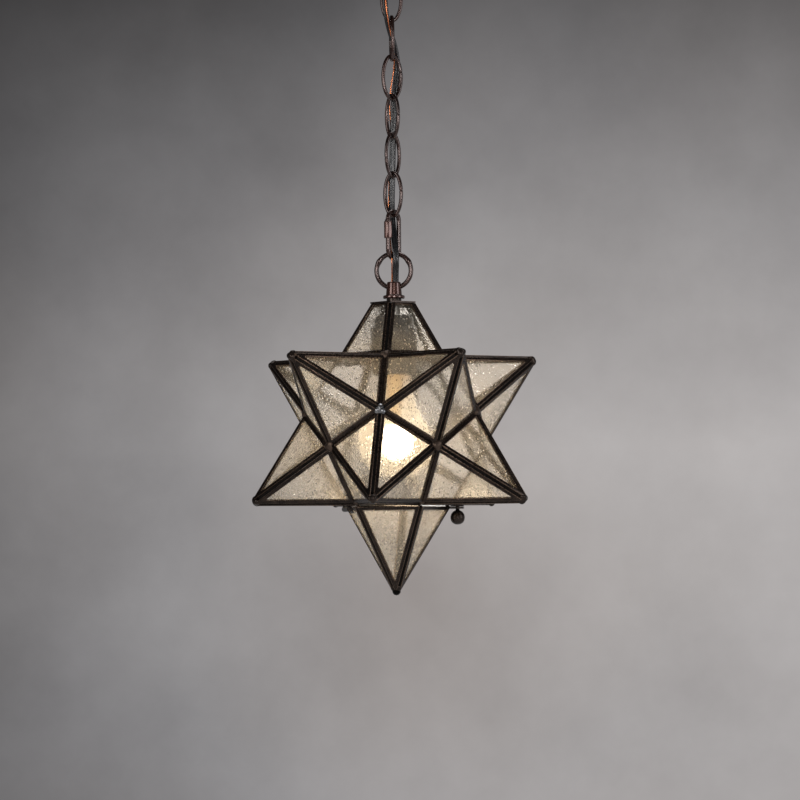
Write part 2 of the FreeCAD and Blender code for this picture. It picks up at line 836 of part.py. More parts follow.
# The bulb's base is a brass cup whose top narrows to the insulator and ends in the tip contact.
INSULATOR_HEIGHT = as_size(5.0)
INSULATOR_STEP = as_size(4.0)
TIP_RISE = as_size(1.5)
TIP_RADIUS = as_size(4.5)
TOP_THICKNESS = as_size(1.5)
bulb_tip = socket_bottom + bulb_seat
bulb_base_bottom = bulb_tip - s.bulb_base_height
base_inner = s.bulb_base_radius - s.bulb_base_wall
base_top = s.bulb_base_height - TIP_RISE
cup_roof = base_top - TOP_THICKNESS
base_profile = [
    (base_inner, ZERO),
    (s.bulb_base_radius, ZERO),
    (s.bulb_base_radius, s.bulb_base_height - INSULATOR_HEIGHT),
    (s.bulb_base_radius - INSULATOR_STEP, base_top),
    (TIP_RADIUS, base_top),
    (TIP_RADIUS, s.bulb_base_height),
    (ZERO, s.bulb_base_height),
    (ZERO, cup_roof),
    (base_inner - INSULATOR_STEP, cup_roof),
    (base_inner, s.bulb_base_height - INSULATOR_HEIGHT - 1.0),
]
nodes.append(lathe("bulb_base", base_profile, bulb_base_bottom))
bulb_bottom = bulb_tip - s.bulb_length
GLOBE_STEPS = 7
GLOBE_SWEEP = 125.0
NECK_SWELL = 0.6
neck_top = s.bulb_length - s.bulb_base_height


def globe_side(inset):
    """The bulb's outline from its lowest point to its neck, set in by a wall."""
    side = []
    for step in range(GLOBE_STEPS + 1):
        turn = math.radians(GLOBE_SWEEP * step / GLOBE_STEPS)
        radius = s.bulb_radius - inset
        side.append((radius * math.sin(turn), s.bulb_radius - radius * math.cos(turn)))
    side.append((s.bulb_base_radius + NECK_SWELL - inset, neck_top - s.bulb_neck_length))
    side.append((base_inner - inset, neck_top))
    return side


bulb_outline = globe_side(ZERO) + globe_side(s.bulb_wall)[::-1]
nodes.append(lathe("bulb_glass", bulb_outline, bulb_bottom))

# ---------------------------------------------------------------- door hinge
# Local axes: X outwards over the hinged edge, Y along it, from the star's centre.
underside = -(rho + s.came_depth.value / 2)
apothem = edge.value / (2 * math.tan(math.radians(36))) + frame_inset.value
hinge_azimuth = front - FIFTH
hinge_x = apothem + s.hinge_barrel_radius.value + s.barrel_stand_off.value
hinge_z = underside - s.leaf_thickness.value - s.hinge_barrel_radius.value + s.barrel_rise.value
hinge_turn = Placement(Vector(0, 0, centre.value), Rotation(Vector(0, 0, 1), hinge_azimuth))
pin_bore = s.hinge_pin_radius.value + s.pin_clearance.value
half_hinge = s.hinge_length.value / 2


def barrel(start, length, radius):
    """A cylinder on the hinge's axis."""
    return Part.makeCylinder(radius, length, Vector(hinge_x, start, hinge_z), Vector(0, 1, 0))


bore = barrel(-s.hinge_length.value, s.hinge_length.value * 2, pin_bore)
fixed_knuckles = []
for start in (-half_hinge, half_hinge - s.hinge_fixed_knuckle.value):
    knuckle = barrel(start, s.hinge_fixed_knuckle.value, s.hinge_barrel_radius.value)
    leaf = Part.makeBox(
        s.leaf_width.value,
        s.hinge_fixed_knuckle.value,
        s.leaf_thickness.value,
        Vector(apothem + s.leaf_edge_gap.value, start, underside - s.leaf_thickness.value),
    )
    fixed_knuckles.append(knuckle.fuse(leaf).cut(bore))
nodes.append(set_shape("hinge_fixed_knuckles", Part.makeCompound(fixed_knuckles), hinge_turn))
door_start = -half_hinge + s.hinge_fixed_knuckle.value + s.knuckle_gap.value
door_knuckle = barrel(door_start, -2 * door_start, s.hinge_barrel_radius.value)
# the door's leaf lies on its sloping outer face, from the barrel down
slope = Rotation(Vector(0, 1, 0), math.degrees(math.atan(0.5)))
leaf_corner = Vector(0, door_start, -s.leaf_width.value)
door_leaf = Part.makeBox(s.leaf_thickness.value, -2 * door_start, s.leaf_width.value, leaf_corner)
door_leaf.Placement = Placement(Vector(apothem, 0, underside - door_drop), slope)
nodes.append(set_shape("hinge_door_knuckle", door_knuckle.fuse(door_leaf).cut(bore), hinge_turn))
pin_start = -half_hinge - s.hinge_pin_overhang.value
hinge_pin = barrel(pin_start, -2 * pin_start, s.hinge_pin_radius.value)
nodes.append(set_shape("hinge_pin", hinge_pin, hinge_turn))

# ---------------------------------------------------------------- door lugs and thumbscrew
# Local axes: X outwards through the door's corner opposite the hinge.
corner_radius = apothem / math.cos(math.radians(36))
screw_x = corner_radius + s.screw_offset.value
lug_turn = Placement(Vector(0, 0, centre.value), Rotation(Vector(0, 0, 1), hinge_azimuth + 180))


LUG_TAPER = 0.7                     # the tapered end's corners, as a share of its radius
LUG_TAPER_START = 1.0


def lug(inner_x, half_width, bottom, hole):
    """A flat tab with a tapered outer end, drilled for the thumbscrew."""
    reach = s.lug_radius.value
    taper = reach * LUG_TAPER
    taper_start = screw_x - LUG_TAPER_START
    corners = [
        Vector(inner_x, -half_width, bottom),
        Vector(taper_start, -half_width, bottom),
        Vector(screw_x + taper, -taper, bottom),
        Vector(screw_x + reach, 0, bottom),
        Vector(screw_x + taper, taper, bottom),
        Vector(taper_start, half_width, bottom),
        Vector(inner_x, half_width, bottom),
    ]
    tab = Part.Face(Part.makePolygon(corners + [corners[0]]))
    tab = tab.extrude(Vector(0, 0, s.lug_thickness.value))
    low = bottom - 1
    high = bottom + s.lug_thickness.value + 1
    radius = hole / math.cos(math.pi / ROUND_SIDES)
    hole_tool = turned([(0, low), (radius, low), (radius, high), (0, high)], ROUND_SIDES)
    hole_tool.translate(Vector(screw_x, 0, 0))
    return tab.cut(hole_tool)


fixed_lug_bottom = underside - s.lug_thickness.value
door_lug_bottom = fixed_lug_bottom - s.door_gap.value - s.lug_thickness.value
stem_hole = s.screw_stem_radius.value + s.screw_hole_clearance.value
threaded_hole = s.screw_stem_radius.value + s.thread_clearance.value
fixed_root = corner_radius + s.fixed_lug_gap.value
fixed_lug = lug(fixed_root, s.fixed_lug_width.value / 2, fixed_lug_bottom, stem_hole)
nodes.append(set_shape("fixed_lug", fixed_lug, lug_turn))
# the door's lug is cut to the door's own frames and keeps only what lies outside them
turn_back = Rotation(Vector(0, 0, 1), -hinge_azimuth - 180)
door_frames = placed(five(point_frame, "door"), Placement(Vector(0, 0, -door_drop), turn_back))
door_root = corner_radius - s.door_lug_root.value
lug_blank = lug(door_root, s.door_lug_width.value / 2, door_lug_bottom, threaded_hole)
lug_pieces = lug_blank.cut(door_frames).Solids
door_lug = max(lug_pieces, key=lambda piece: piece.Volume)
nodes.append(set_shape("door_lug", door_lug, lug_turn))

BALL_STEPS = 8
BALL_SWEEP = 163.0
NECK_START = 1.957                  # height of the neck's foot on the ball, in ball radii
screw_profile = [(ZERO, ZERO)]
for step in range(1, BALL_STEPS):
    turn = math.radians(BALL_SWEEP * step / (BALL_STEPS - 1))
    ball_radius = s.screw_ball_radius * math.sin(turn)
    screw_profile.append((ball_radius, s.screw_ball_radius * (1 - math.cos(turn))))
lugs_height = s.lug_thickness * 2 + s.door_gap
screw_top = s.screw_ball_radius * 2 + s.screw_neck + lugs_height + s.screw_overrun
screw_profile.append((s.screw_stem_radius, s.screw_ball_radius * NECK_START))
screw_profile.append((s.screw_stem_radius, screw_top))
screw_profile.append((ZERO, screw_top))
door_screw = lathe("door_thumbscrew", screw_profile, centre, sides=16)
screw_spot = polar(screw_x, hinge_azimuth + 180)
screw_spot.z = centre.value + door_lug_bottom - s.screw_neck.value - s.screw_ball_radius.value * 2
door_screw.setExpression("Placement.Base.z", None)
door_screw.Placement = Placement(screw_spot, Rotation())
nodes.append(door_screw)

# ---------------------------------------------------------------- ceiling canopy
rim = s.canopy_radius
wall = s.canopy_wall
depth = s.canopy_depth
canopy_hole = s.stem_radius + s.thread_clearance
shoulder_height = s.canopy_shoulder_height
slope_end = rim * 0.5
crown_flat = s.collar_flange_radius + s.canopy_flat_margin
# the inside's corners shift sideways by this much, so that the sloping wall stays even
WALL_SHIFT = 0.2
canopy_profile = [
    (rim - wall, ZERO),
    (rim, ZERO),
    (rim, s.canopy_rim_height),
    (rim - s.canopy_shoulder_inset, shoulder_height),
    (slope_end, depth - s.canopy_crown_drop),
    (crown_flat, depth),
    (canopy_hole, depth),
    (canopy_hole, depth - wall),
    (crown_flat - WALL_SHIFT, depth - wall),
    (slope_end - WALL_SHIFT, depth - s.canopy_crown_drop - wall),
    (rim - s.canopy_shoulder_inset - 2 * WALL_SHIFT, shoulder_height - wall),
    (rim - wall, s.canopy_rim_height - 2 * WALL_SHIFT),
]
canopy = lathe("canopy_cover", canopy_profile, ZERO, sides=36)
canopy.Placement = Placement(Vector(0, 0, 0), Rotation(Vector(1, 0, 0), 180))
nodes.append(canopy)
nodes.append(tube("canopy_spacer", s.spacer_radius, thread_bore, upper_flange, canopy_face))
bar_top = ZERO - s.ceiling_gap
bar_bottom = bar_top - s.crossbar_thickness
canopy_stem_bottom = upper_flange - s.stem_engagement
canopy_stem_top = bar_top + s.crossbar_stem_overrun
nodes.append(tube("canopy_stem", s.stem_radius, s.stem_bore, canopy_stem_bottom, canopy_stem_top))
inner_nut = nut(
    "CanopyNut", s.stem_nut_flats, s.stem_nut_height, canopy_face + s.canopy_wall, thread_bore
)
bar_nut = nut(
    "CrossbarNut", s.stem_nut_flats, s.stem_nut_height, bar_bottom - s.stem_nut_height, thread_bore
)
pair = doc.addObject("Part::Compound", "canopy_nuts")
pair.Links = [inner_nut, bar_nut]
nodes.append(pair)
bar = Part.makeBox(
    s.crossbar_length.value,
    s.crossbar_width.value,
    s.crossbar_thickness.value,
    Vector(-s.crossbar_length.value / 2, -s.crossbar_width.value / 2, bar_bottom.value),
)
THROUGH = 20.0                      # length of the tools that cut right through the bar
tool_bottom = bar_bottom.value - THROUGH / 2
bar = bar.cut(Part.makeCylinder(thread_bore.value, THROUGH, Vector(0, 0, tool_bottom)))
slot_radius = s.box_screw_radius.value + s.box_screw_play.value
half_travel = s.slot_travel.value / 2
free_end = (s.crossbar_length.value - s.box_screw_spacing.value) / 2 - slot_radius
outward_travel = min(half_travel, free_end - s.slot_end_wall.value)
head_radius = s.box_screw_radius.value * 2
neck_radius = s.box_screw_radius.value - s.box_screw_play.value
head_height = s.box_screw_head_height.value
head_outline = [
    (0, -head_height),
    (head_radius, -head_height),
    (head_radius, 0),
    (neck_radius, 0),
    (neck_radius, s.crossbar_thickness.value),
    (0, s.crossbar_thickness.value),
]
shank_length = s.box_screw_length.value - s.crossbar_thickness.value
screws = []
for side in (-1, 1):
    spot = Vector(side * s.box_screw_spacing.value / 2, 0, 0)
    slot_ends = [spot.x - side * half_travel, spot.x + side * outward_travel]
    for end in slot_ends:
        bar = bar.cut(Part.makeCylinder(slot_radius, THROUGH, Vector(end, 0, tool_bottom)))
    slot_corner = Vector(min(slot_ends), -slot_radius, tool_bottom)
    slot_length = half_travel + outward_travel
    bar = bar.cut(Part.makeBox(slot_length, 2 * slot_radius, THROUGH, slot_corner))
    seat = spot + Vector(0, 0, bar_bottom.value)
    shank_start = seat + Vector(0, 0, s.crossbar_thickness.value)
    shank = Part.makeCylinder(s.box_screw_radius.value, shank_length, shank_start)
    head = turned(head_outline, 16)
    head.translate(seat)
    screws.append(head.fuse(shank))
nodes.append(set_shape("crossbar", bar))
nodes.append(set_shape("box_screws", Part.makeCompound(screws)))

# ---------------------------------------------------------------- cord and bare ground wire
# Offsets from the stem's axis at each place where two loops meet, chosen by hand: in front of the
# first pair, behind the chain's middle, through the quick link to the front and into the collar.
meetings = [top.value - s.link_wire.value for top in link_tops]
meetings.append(quick_top.value - s.quick_wire.value)
meetings.append(lower_ring_end.value - s.loop_wire.value)
CORD_OFFSETS = [
    (-4.3, -3.8),
    (-4.0, -4.9),
    (4.4, 6.6),
    (1.1, 4.6),
    (0.2, 5.5),
    (-0.5, 4.7),
    (-1.1, 6.8),
    (1.8, -5.7),
]
GROUND_OFFSETS = [
    (-5.5, -7.0),
    (-3.7, -8.0),
    (3.1, 4.6),
    (-2.8, 6.7),
    (-0.9, 8.1),
    (-2.6, 6.4),
    (-3.6, 6.3),
    (-0.3, -7.9),
]


START_IN_STEM = 4.0
BELOW_UPPER_COLLAR = 4.0
ABOVE_LOWER_COLLAR = 3.0
END_IN_STEM = 1.0


def route(offsets, entry_x):
    """Points from stem to stem: straight in each collar and by hand at each pair of loops."""
    collar = s.collar_height.value
    points = [
        Vector(entry_x, 0, canopy_stem_top.value - START_IN_STEM),
        Vector(entry_x, 0, upper_flange.value - collar - BELOW_UPPER_COLLAR),
    ]
    for level, (x, y) in zip(meetings, offsets):
        points.append(Vector(x, y, level))
    points.append(Vector(entry_x, 0, lower_flange.value + collar + ABOVE_LOWER_COLLAR))
    points.append(Vector(entry_x, 0, stem_bottom.value + END_IN_STEM))
    return points


def rounded_path(points):
    """Straight runs joined by tangent arcs; also returns the arcs' radii."""
    pieces = []
    radii = []
    start = points[0]
    for before, here, after in zip(points, points[1:], points[2:]):
        way_in = unit(here - before)
        way_out = unit(after - here)
        half_turn = math.acos(min(1.0, way_in.dot(way_out))) / 2
        reach = 0.45 * min((here - before).Length, (after - here).Length)
        radii.append(reach / math.tan(half_turn))
        first = here - way_in * reach
        last = here + way_out * reach
        middle_way = unit(way_out - way_in)
        sagitta = radii[-1] * (1 / math.cos(half_turn) - 1)
        pieces.append(Part.LineSegment(start, first).toShape())
        pieces.append(Part.Arc(first, here + middle_way * sagitta, last).toShape())
        start = last
    pieces.append(Part.LineSegment(start, points[-1]).toShape())
    return Part.Wire(pieces), radii


def cord(label, points, diameter, sides):
    path, radii = rounded_path(points)
    section = []
    for step in range(sides + 1):
        section.append(points[0] + polar(diameter / 2, 360.0 * step / sides))
    solid = path.makePipeShell([Part.makePolygon(section)], True, False)
    area = sides / 2 * (diameter / 2) ** 2 * math.sin(2 * math.pi / sides)
    expected = area * path.Length
    print(label, "length", round(path.Length, 1), "least radius", round(min(radii), 1))
    print(label, "volume", round(solid.Volume, 1), "expected", round(expected, 1))
    return set_shape(label, solid)


CORD_ENTRY = 1.3                    # side by side in the stems' bore
GROUND_ENTRY = -1.6
nodes.append(cord("supply_cord", route(CORD_OFFSETS, CORD_ENTRY), s.cord_diameter.value, 8))
nodes.append(cord("ground_wire", route(GROUND_OFFSETS, GROUND_ENTRY), s.ground_diameter.value, 6))

# ---------------------------------------------------------------- check and write
doc.recompute()
faults = []
for thing in doc.Objects:
    if "Invalid" in thing.State or "Error" in thing.State:
        faults.append(f"{thing.Name} {thing.State}")
for node in nodes:
    if node.Shape.isNull() or not node.Shape.isValid() or not node.Shape.Solids:
        faults.append(f"{node.Label} has no valid solid")
if faults:
    raise RuntimeError("; ".join(faults))
for node in nodes:
    node.Shape.exportStep(f"parts/{node.Label}.step")
print(len(nodes), "nodes; star centre at", round(centre.value, 2))
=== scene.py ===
import math

import bmesh
import bpy
import numpy as np
from mathutils import Matrix, Vector


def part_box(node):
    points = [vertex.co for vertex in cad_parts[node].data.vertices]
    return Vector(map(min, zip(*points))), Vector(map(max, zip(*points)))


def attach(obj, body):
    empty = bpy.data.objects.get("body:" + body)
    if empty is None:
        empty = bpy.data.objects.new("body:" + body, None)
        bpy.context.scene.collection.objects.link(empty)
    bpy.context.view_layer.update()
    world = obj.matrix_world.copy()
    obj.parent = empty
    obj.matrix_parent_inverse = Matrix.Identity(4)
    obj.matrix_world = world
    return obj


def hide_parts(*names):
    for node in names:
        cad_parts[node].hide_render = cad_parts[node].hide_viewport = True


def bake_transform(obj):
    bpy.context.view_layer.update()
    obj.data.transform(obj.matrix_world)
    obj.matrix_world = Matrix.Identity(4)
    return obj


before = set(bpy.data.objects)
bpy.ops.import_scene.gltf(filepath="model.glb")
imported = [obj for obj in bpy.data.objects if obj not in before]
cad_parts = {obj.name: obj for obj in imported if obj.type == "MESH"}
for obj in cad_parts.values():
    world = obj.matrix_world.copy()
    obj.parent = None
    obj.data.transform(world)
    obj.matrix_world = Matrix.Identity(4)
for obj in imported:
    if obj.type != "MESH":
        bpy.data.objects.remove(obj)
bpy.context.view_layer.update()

# ------------------------------------------------------------------ room, lamps and camera
# A plain grey wall far behind, a pale floor well below the lamp, and soft studio light: a soft box
# on each side, above, behind and in front. The camera stands a little below the star and looks up.
MM = 0.001
STAR_CENTRE_Z = -0.4388
CAMERA_DISTANCE = 2.375
CAMERA_X = 0.0042
CAMERA_BELOW_STAR = 0.086
CAMERA_PITCH = 2.68
CAMERA_ROLL = 0.5
CAMERA_LENS = 130.0
SENSOR_WIDTH = 36.0
WALL_COLOUR = (0.45, 0.435, 0.43)
# the star's painted shadow on the wall: its colour, the way to its middle and its reach
STAR_SHADOW_COLOUR = (0.80, 0.76, 0.73)
STAR_SHADOW_WAY = (0.004, 0.9995, -0.020)
STAR_SHADOW_REACH = 0.085
LIFT_THROUGH_GLASS = (1.56, 1.54, 1.50)
GLOW_FROM_ABOVE = (0.45, 0.425, 0.39)
FILL_COLOUR, FILL_STRENGTH = (0.84, 0.83, 0.82, 1), 0.30
FLOOR_Z = -1.30
FLOOR_RADIUS = 2.0
FLOOR_SIDES = 96

camera_data = bpy.data.cameras.new("camera")
camera_data.lens = CAMERA_LENS
camera_data.sensor_width = SENSOR_WIDTH
camera = bpy.data.objects.new("camera", camera_data)
bpy.context.scene.collection.objects.link(camera)
camera.location = (CAMERA_X, -CAMERA_DISTANCE, STAR_CENTRE_Z - CAMERA_BELOW_STAR)
upright = Matrix.Rotation(math.radians(90 + CAMERA_PITCH), 3, "X")
camera.rotation_euler = (upright @ Matrix.Rotation(math.radians(-CAMERA_ROLL), 3, "Z")).to_euler()
bpy.context.scene.camera = camera
bpy.context.scene.view_settings.view_transform = "Standard"


def new_material(name):
    """A material with an empty node tree and its output."""
    material = bpy.data.materials.new(name)
    material.use_nodes = True
    tree = material.node_tree
    tree.nodes.clear()
    output = tree.nodes.new("ShaderNodeOutputMaterial")
    return material, tree, output


def node(tree, kind, **settings):
    """A node of a tree; values go to inputs by name, everything else to its properties."""
    made = tree.nodes.new("ShaderNode" + kind)
    inputs = settings.pop("inputs", {})
    for key, value in settings.items():
        setattr(made, key, value)
    for key, value in inputs.items():
        if isinstance(value, bpy.types.NodeSocket):
            tree.links.new(value, made.inputs[key])
        else:
            made.inputs[key].default_value = value
    return made


def ramp(tree, factor, stops):
    """A colour ramp over a factor; stops are (place, colour or grey)."""
    made = tree.nodes.new("ShaderNodeValToRGB")
    while len(made.color_ramp.elements) < len(stops):
        made.color_ramp.elements.new(0.5)
    for element, (place, colour) in zip(made.color_ramp.elements, stops):
        element.position = place
        if isinstance(colour, (int, float)):
            colour = (colour,) * 3
        element.color = (*colour, 1)
    tree.links.new(factor, made.inputs["Fac"])
    return made.outputs["Color"]


def mix(tree, factor, first, second, blend="MIX"):
    """A colour mix of two sockets or colours by a factor."""
    made = tree.nodes.new("ShaderNodeMix")
    made.data_type = "RGBA"
    made.blend_type = blend
    for place, value in ((0, factor), (6, first), (7, second)):
        if isinstance(value, bpy.types.NodeSocket):
            tree.links.new(value, made.inputs[place])
        elif place and len(value) == 3:
            made.inputs[place].default_value = (*value, 1)
        else:
            made.inputs[place].default_value = value
    return made.outputs[2]


def math_node(tree, operation, first, second=0.5, clamp=False, third=0.5):
    """One Math node on sockets or numbers."""
    made = tree.nodes.new("ShaderNodeMath")
    made.operation = operation
    made.use_clamp = clamp
    for place, value in enumerate((first, second, third)):
        if isinstance(value, bpy.types.NodeSocket):
            tree.links.new(value, made.inputs[place])
        else:
            made.inputs[place].default_value = value
    return made.outputs[0]


world = bpy.data.worlds.new("room")
bpy.context.scene.world = world
world.use_nodes = True
room = world.node_tree
room.nodes.clear()
room_output = room.nodes.new("ShaderNodeOutputWorld")
direction = node(room, "TexCoord").outputs["Generated"]
cloud = node(room, "TexNoise", inputs={"Vector": direction, "Scale": 13.0, "Detail": 6.0, "Roughness": 0.6})
low_cloud = node(room, "TexNoise", inputs={"Vector": direction, "Scale": 3.0, "Detail": 3.0})
split = node(room, "SeparateXYZ", inputs={"Vector": direction})
# painted shade: the wall darkens to the left, upwards and a little downwards
sideways = node(room, "MapRange", inputs={"Value": split.outputs["X"], "From Min": -0.2, "From Max": 0.2})
across = ramp(room, sideways.outputs[0], [(0.12, 0.36), (0.34, 0.70), (0.5, 0.97), (0.95, 1.0)])
upwards = node(room, "MapRange", inputs={"Value": split.outputs["Z"], "From Min": -0.15, "From Max": 0.25})
aloft = ramp(room, upwards.outputs[0], [(0.05, 0.79), (0.45, 1.0), (0.62, 0.68), (0.86, 0.20)])
painted_wall_shade = mix(room, 1.0, across, aloft, "MULTIPLY")
painted_wall_shade = mix(room, 1.0, painted_wall_shade, WALL_COLOUR, "MULTIPLY")
# two sizes of cloud mottle it, and a painted shadow of the star, darker and warmer, lies behind the star's
# lower half
mottle = ramp(room, cloud.outputs["Fac"], [(0.3, 0.32), (0.7, 0.68)])
wall = mix(room, 0.5, painted_wall_shade, mottle, "SOFT_LIGHT")
tint = ramp(room, low_cloud.outputs["Fac"], [(0.3, (0.44, 0.455, 0.50)), (0.7, (0.58, 0.54, 0.52))])
wall = mix(room, 0.7, wall, tint, "SOFT_LIGHT")
apart = node(room, "VectorMath", operation="DISTANCE", inputs={0: direction, 1: STAR_SHADOW_WAY})
painted_star_shadow = ramp(room, apart.outputs["Value"], [(0.0, STAR_SHADOW_COLOUR), (STAR_SHADOW_REACH, 1.0)])
wall = mix(room, 1.0, wall, painted_star_shadow, "MULTIPLY")
# rays bent by the seeds go far up or down: a studio is bright a little above and dark below
slope = node(room, "MapRange", inputs={"Value": split.outputs["Z"], "From Min": -0.5, "From Max": 0.5})
rise = ramp(room, slope.outputs[0], [
    (0.0, 0.18), (0.38, 0.36), (0.49, 0.48), (0.52, 0.68), (0.55, 0.98), (0.60, 1.0), (0.80, 0.90),
    (1.0, 0.40)])
lifted = mix(room, 1.0, wall, LIFT_THROUGH_GLASS, "MULTIPLY")
through_glass = mix(room, 1.0, lifted, rise, "MULTIPLY")
above = ramp(room, slope.outputs[0], [(0.56, 0.0), (0.68, 1.0), (0.92, 1.0), (1.0, 0.3)])
through_glass = mix(room, above, through_glass, GLOW_FROM_ABOVE)
# camera, glass and mirror rays see the wall; everything else is lit by an even grey fill
paths = node(room, "LightPath")
wall = mix(room, paths.outputs["Is Transmission Ray"], wall, through_glass)
seen = node(room, "Background", inputs={"Color": wall, "Strength": 1.0})
lit = node(room, "Background", inputs={"Color": FILL_COLOUR, "Strength": FILL_STRENGTH})
is_seen = math_node(room, "MAXIMUM", paths.outputs["Is Camera Ray"], paths.outputs["Is Transmission Ray"])
is_seen = math_node(room, "MAXIMUM", is_seen, paths.outputs["Is Glossy Ray"])
either = node(room, "MixShader", inputs={0: is_seen, 1: lit.outputs[0], 2: seen.outputs[0]})
room.links.new(either.outputs[0], room_output.inputs["Surface"])


def soft_box(name, place, target, size, watts, colour):
    """A rectangular area lamp at a place, turned to face a target."""
    data = bpy.data.lights.new(name, "AREA")
    data.shape = "RECTANGLE"
    data.size, data.size_y = size
    data.energy = watts
    data.color = colour
    lamp = bpy.data.objects.new(name, data)
    bpy.context.scene.collection.objects.link(lamp)
    lamp.location = place
    way = Vector(target) - Vector(place)
    lamp.rotation_euler = way.to_track_quat("-Z", "Y").to_euler()
    return lamp


STAR = (0, 0, STAR_CENTRE_Z)
soft_box("left_box", (-1.5, -1.3, 0.1), STAR, (0.7, 1.3), 13, (1.0, 0.98, 0.96))
soft_box("right_box", (1.7, -0.9, -0.1), STAR, (0.6, 1.2), 9, (0.95, 0.97, 1.0))
soft_box("top_box", (0.1, 0.3, 1.3), (0, 0, -0.3), (1.1, 1.1), 15, (1.0, 1.0, 1.0))
soft_box("front_box", (0.05, -2.2, -0.1), STAR, (0.40, 0.45), 13, (1.0, 0.97, 0.95))
back_box = soft_box("back_box", (0.4, 1.6, 0.2), STAR, (1.0, 0.8), 11, (1.0, 1.0, 1.0))
# the lamp behind is for the glass: mirrored in the chain's wire, it would draw a white line
back_box.visible_glossy = False

floor_turn = np.linspace(0, 2 * np.pi, FLOOR_SIDES, endpoint=False)
floor_mesh = bpy.data.meshes.new("floor")
floor_flat = FLOOR_RADIUS * np.c_[np.cos(floor_turn), np.sin(floor_turn)]
floor_rim = np.c_[floor_flat, np.full(FLOOR_SIDES, FLOOR_Z)]
floor_mesh.from_pydata(floor_rim.tolist(), [], [list(range(FLOOR_SIDES))])
floor = bpy.data.objects.new("floor", floor_mesh)
bpy.context.scene.collection.objects.link(floor)
plaster, tree, output = new_material("pale_floor")
spot = node(tree, "TexCoord").outputs["Object"]
grain = node(tree, "TexNoise", inputs={"Vector": spot, "Scale": 6.0, "Detail": 6.0})
shade = ramp(tree, grain.outputs["Fac"], [(0.3, (0.60, 0.60, 0.60)), (0.7, (0.66, 0.66, 0.655))])
surface = node(tree, "BsdfPrincipled", inputs={"Base Color": shade, "Roughness": 0.8})
tree.links.new(surface.outputs[0], output.inputs["Surface"])
floor_mesh.materials.append(plaster)


# ------------------------------------------------------------------ seeded glass panes
# Sixty panes of clear hand-rolled glass a little under 2 mm thick, cut to blunt triangles. The seeds
# are small bubbles, drawn out and crowded in clouds, and the sheet's face is gently waved.
CLOUD_SCALE, SEED_SCALE, FINE_SCALE, WAVE_SCALE = 24.0, 620.0, 420.0, 48.0
DRAWN_OUT = (1.0, 1.0, 0.55)
SEEDS_IN_THE_CLEAR, MORE_SEEDS_IN_CLOUDS = 0.13, 0.55
SEED_RADIUS, SEED_EDGE = 0.42, 4.0
DARK_SEEDS, DARK_STRENGTH = 0.55, 0.50
BRIGHT_SEEDS, BRIGHT_STRENGTH = 0.70, 0.45
HAZE_EVERYWHERE = 0.15
WAVE_HEIGHT, FINE_HEIGHT = 1.8, 0.4
RELIEF_STRENGTH, RELIEF_HEIGHT = 0.42, 0.0004
GLASS_IOR = 1.45
SURFACES_OF_FOUR_PANES = 7.5


def finish_nodes(names, material):
    """Puts a material in every slot of some CAD nodes."""
    for name in names:
        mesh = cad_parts[name].data
        mesh.materials.clear()
        mesh.materials.append(material)


glass_names = [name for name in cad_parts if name.endswith("_glass") and name != "bulb_glass"]
seeded, tree, output = new_material("seeded_glass")
spot = node(tree, "TexCoord").outputs["Object"]
drawn = node(tree, "Mapping", inputs={"Vector": spot, "Scale": DRAWN_OUT}).outputs[0]
clouds = node(tree, "TexNoise", inputs={
    "Vector": spot, "Scale": CLOUD_SCALE, "Detail": 2.0, "Roughness": 0.5})
cloud_mask = ramp(tree, clouds.outputs["Fac"], [(0.44, 0.0), (0.66, 1.0)])
seeds = node(tree, "TexVoronoi", feature="F1", inputs={
    "Vector": drawn, "Scale": SEED_SCALE, "Randomness": 1.0})
chance = node(tree, "SeparateColor", inputs={"Color": seeds.outputs["Color"]})
fine = node(tree, "TexNoise", inputs={"Vector": drawn, "Scale": FINE_SCALE, "Detail": 3.0, "Roughness": 0.7})
wave = node(tree, "TexNoise", inputs={"Vector": spot, "Scale": WAVE_SCALE, "Detail": 2.0})
# a cell holds a seed by chance, more often in a cloud, and the seed fades out at its rim
crowd = math_node(tree, "MULTIPLY_ADD", cloud_mask, MORE_SEEDS_IN_CLOUDS, third=SEEDS_IN_THE_CLEAR)
present = math_node(tree, "LESS_THAN", chance.outputs["Red"], crowd)
inside = math_node(tree, "SUBTRACT", SEED_RADIUS, seeds.outputs["Distance"])
bubble = math_node(tree, "MULTIPLY", inside, SEED_EDGE, clamp=True)
bubble = math_node(tree, "MULTIPLY", bubble, present)
# over half of the seeds are painted shade, a dark diffuse colour, with fine dark specks between them in the
# clouds; three in ten look bright
dusk = ramp(tree, fine.outputs["Fac"], [(0.52, 0.0), (0.70, 1.0)])
is_dark = math_node(tree, "LESS_THAN", chance.outputs["Green"], DARK_SEEDS)
dark_seed = math_node(tree, "MULTIPLY", bubble, is_dark)
dark_seed = math_node(tree, "MAXIMUM", dark_seed, math_node(tree, "MULTIPLY", dusk, cloud_mask))
painted_shade_share = math_node(tree, "MULTIPLY", dark_seed, DARK_STRENGTH)
is_bright = math_node(tree, "GREATER_THAN", chance.outputs["Green"], BRIGHT_SEEDS)
bright_seed = math_node(tree, "MULTIPLY", bubble, is_bright)
haze_share = math_node(tree, "MULTIPLY_ADD", bright_seed, BRIGHT_STRENGTH, clamp=True, third=HAZE_EVERYWHERE)
height = math_node(tree, "MULTIPLY_ADD", wave.outputs["Fac"], WAVE_HEIGHT, third=bubble)
height = math_node(tree, "MULTIPLY_ADD", fine.outputs["Fac"], FINE_HEIGHT, third=height)
relief = node(tree, "Bump", inputs={"Height": height, "Strength": RELIEF_STRENGTH, "Distance": RELIEF_HEIGHT})
film = node(tree, "BsdfPrincipled", inputs={
    "Base Color": (1.0, 0.98, 0.95, 1), "Roughness": 0.02, "IOR": GLASS_IOR, "Transmission Weight": 1.0,
    "Normal": relief.outputs[0]})
haze = node(tree, "BsdfTranslucent", inputs={"Color": (0.97, 0.86, 0.72, 1)})
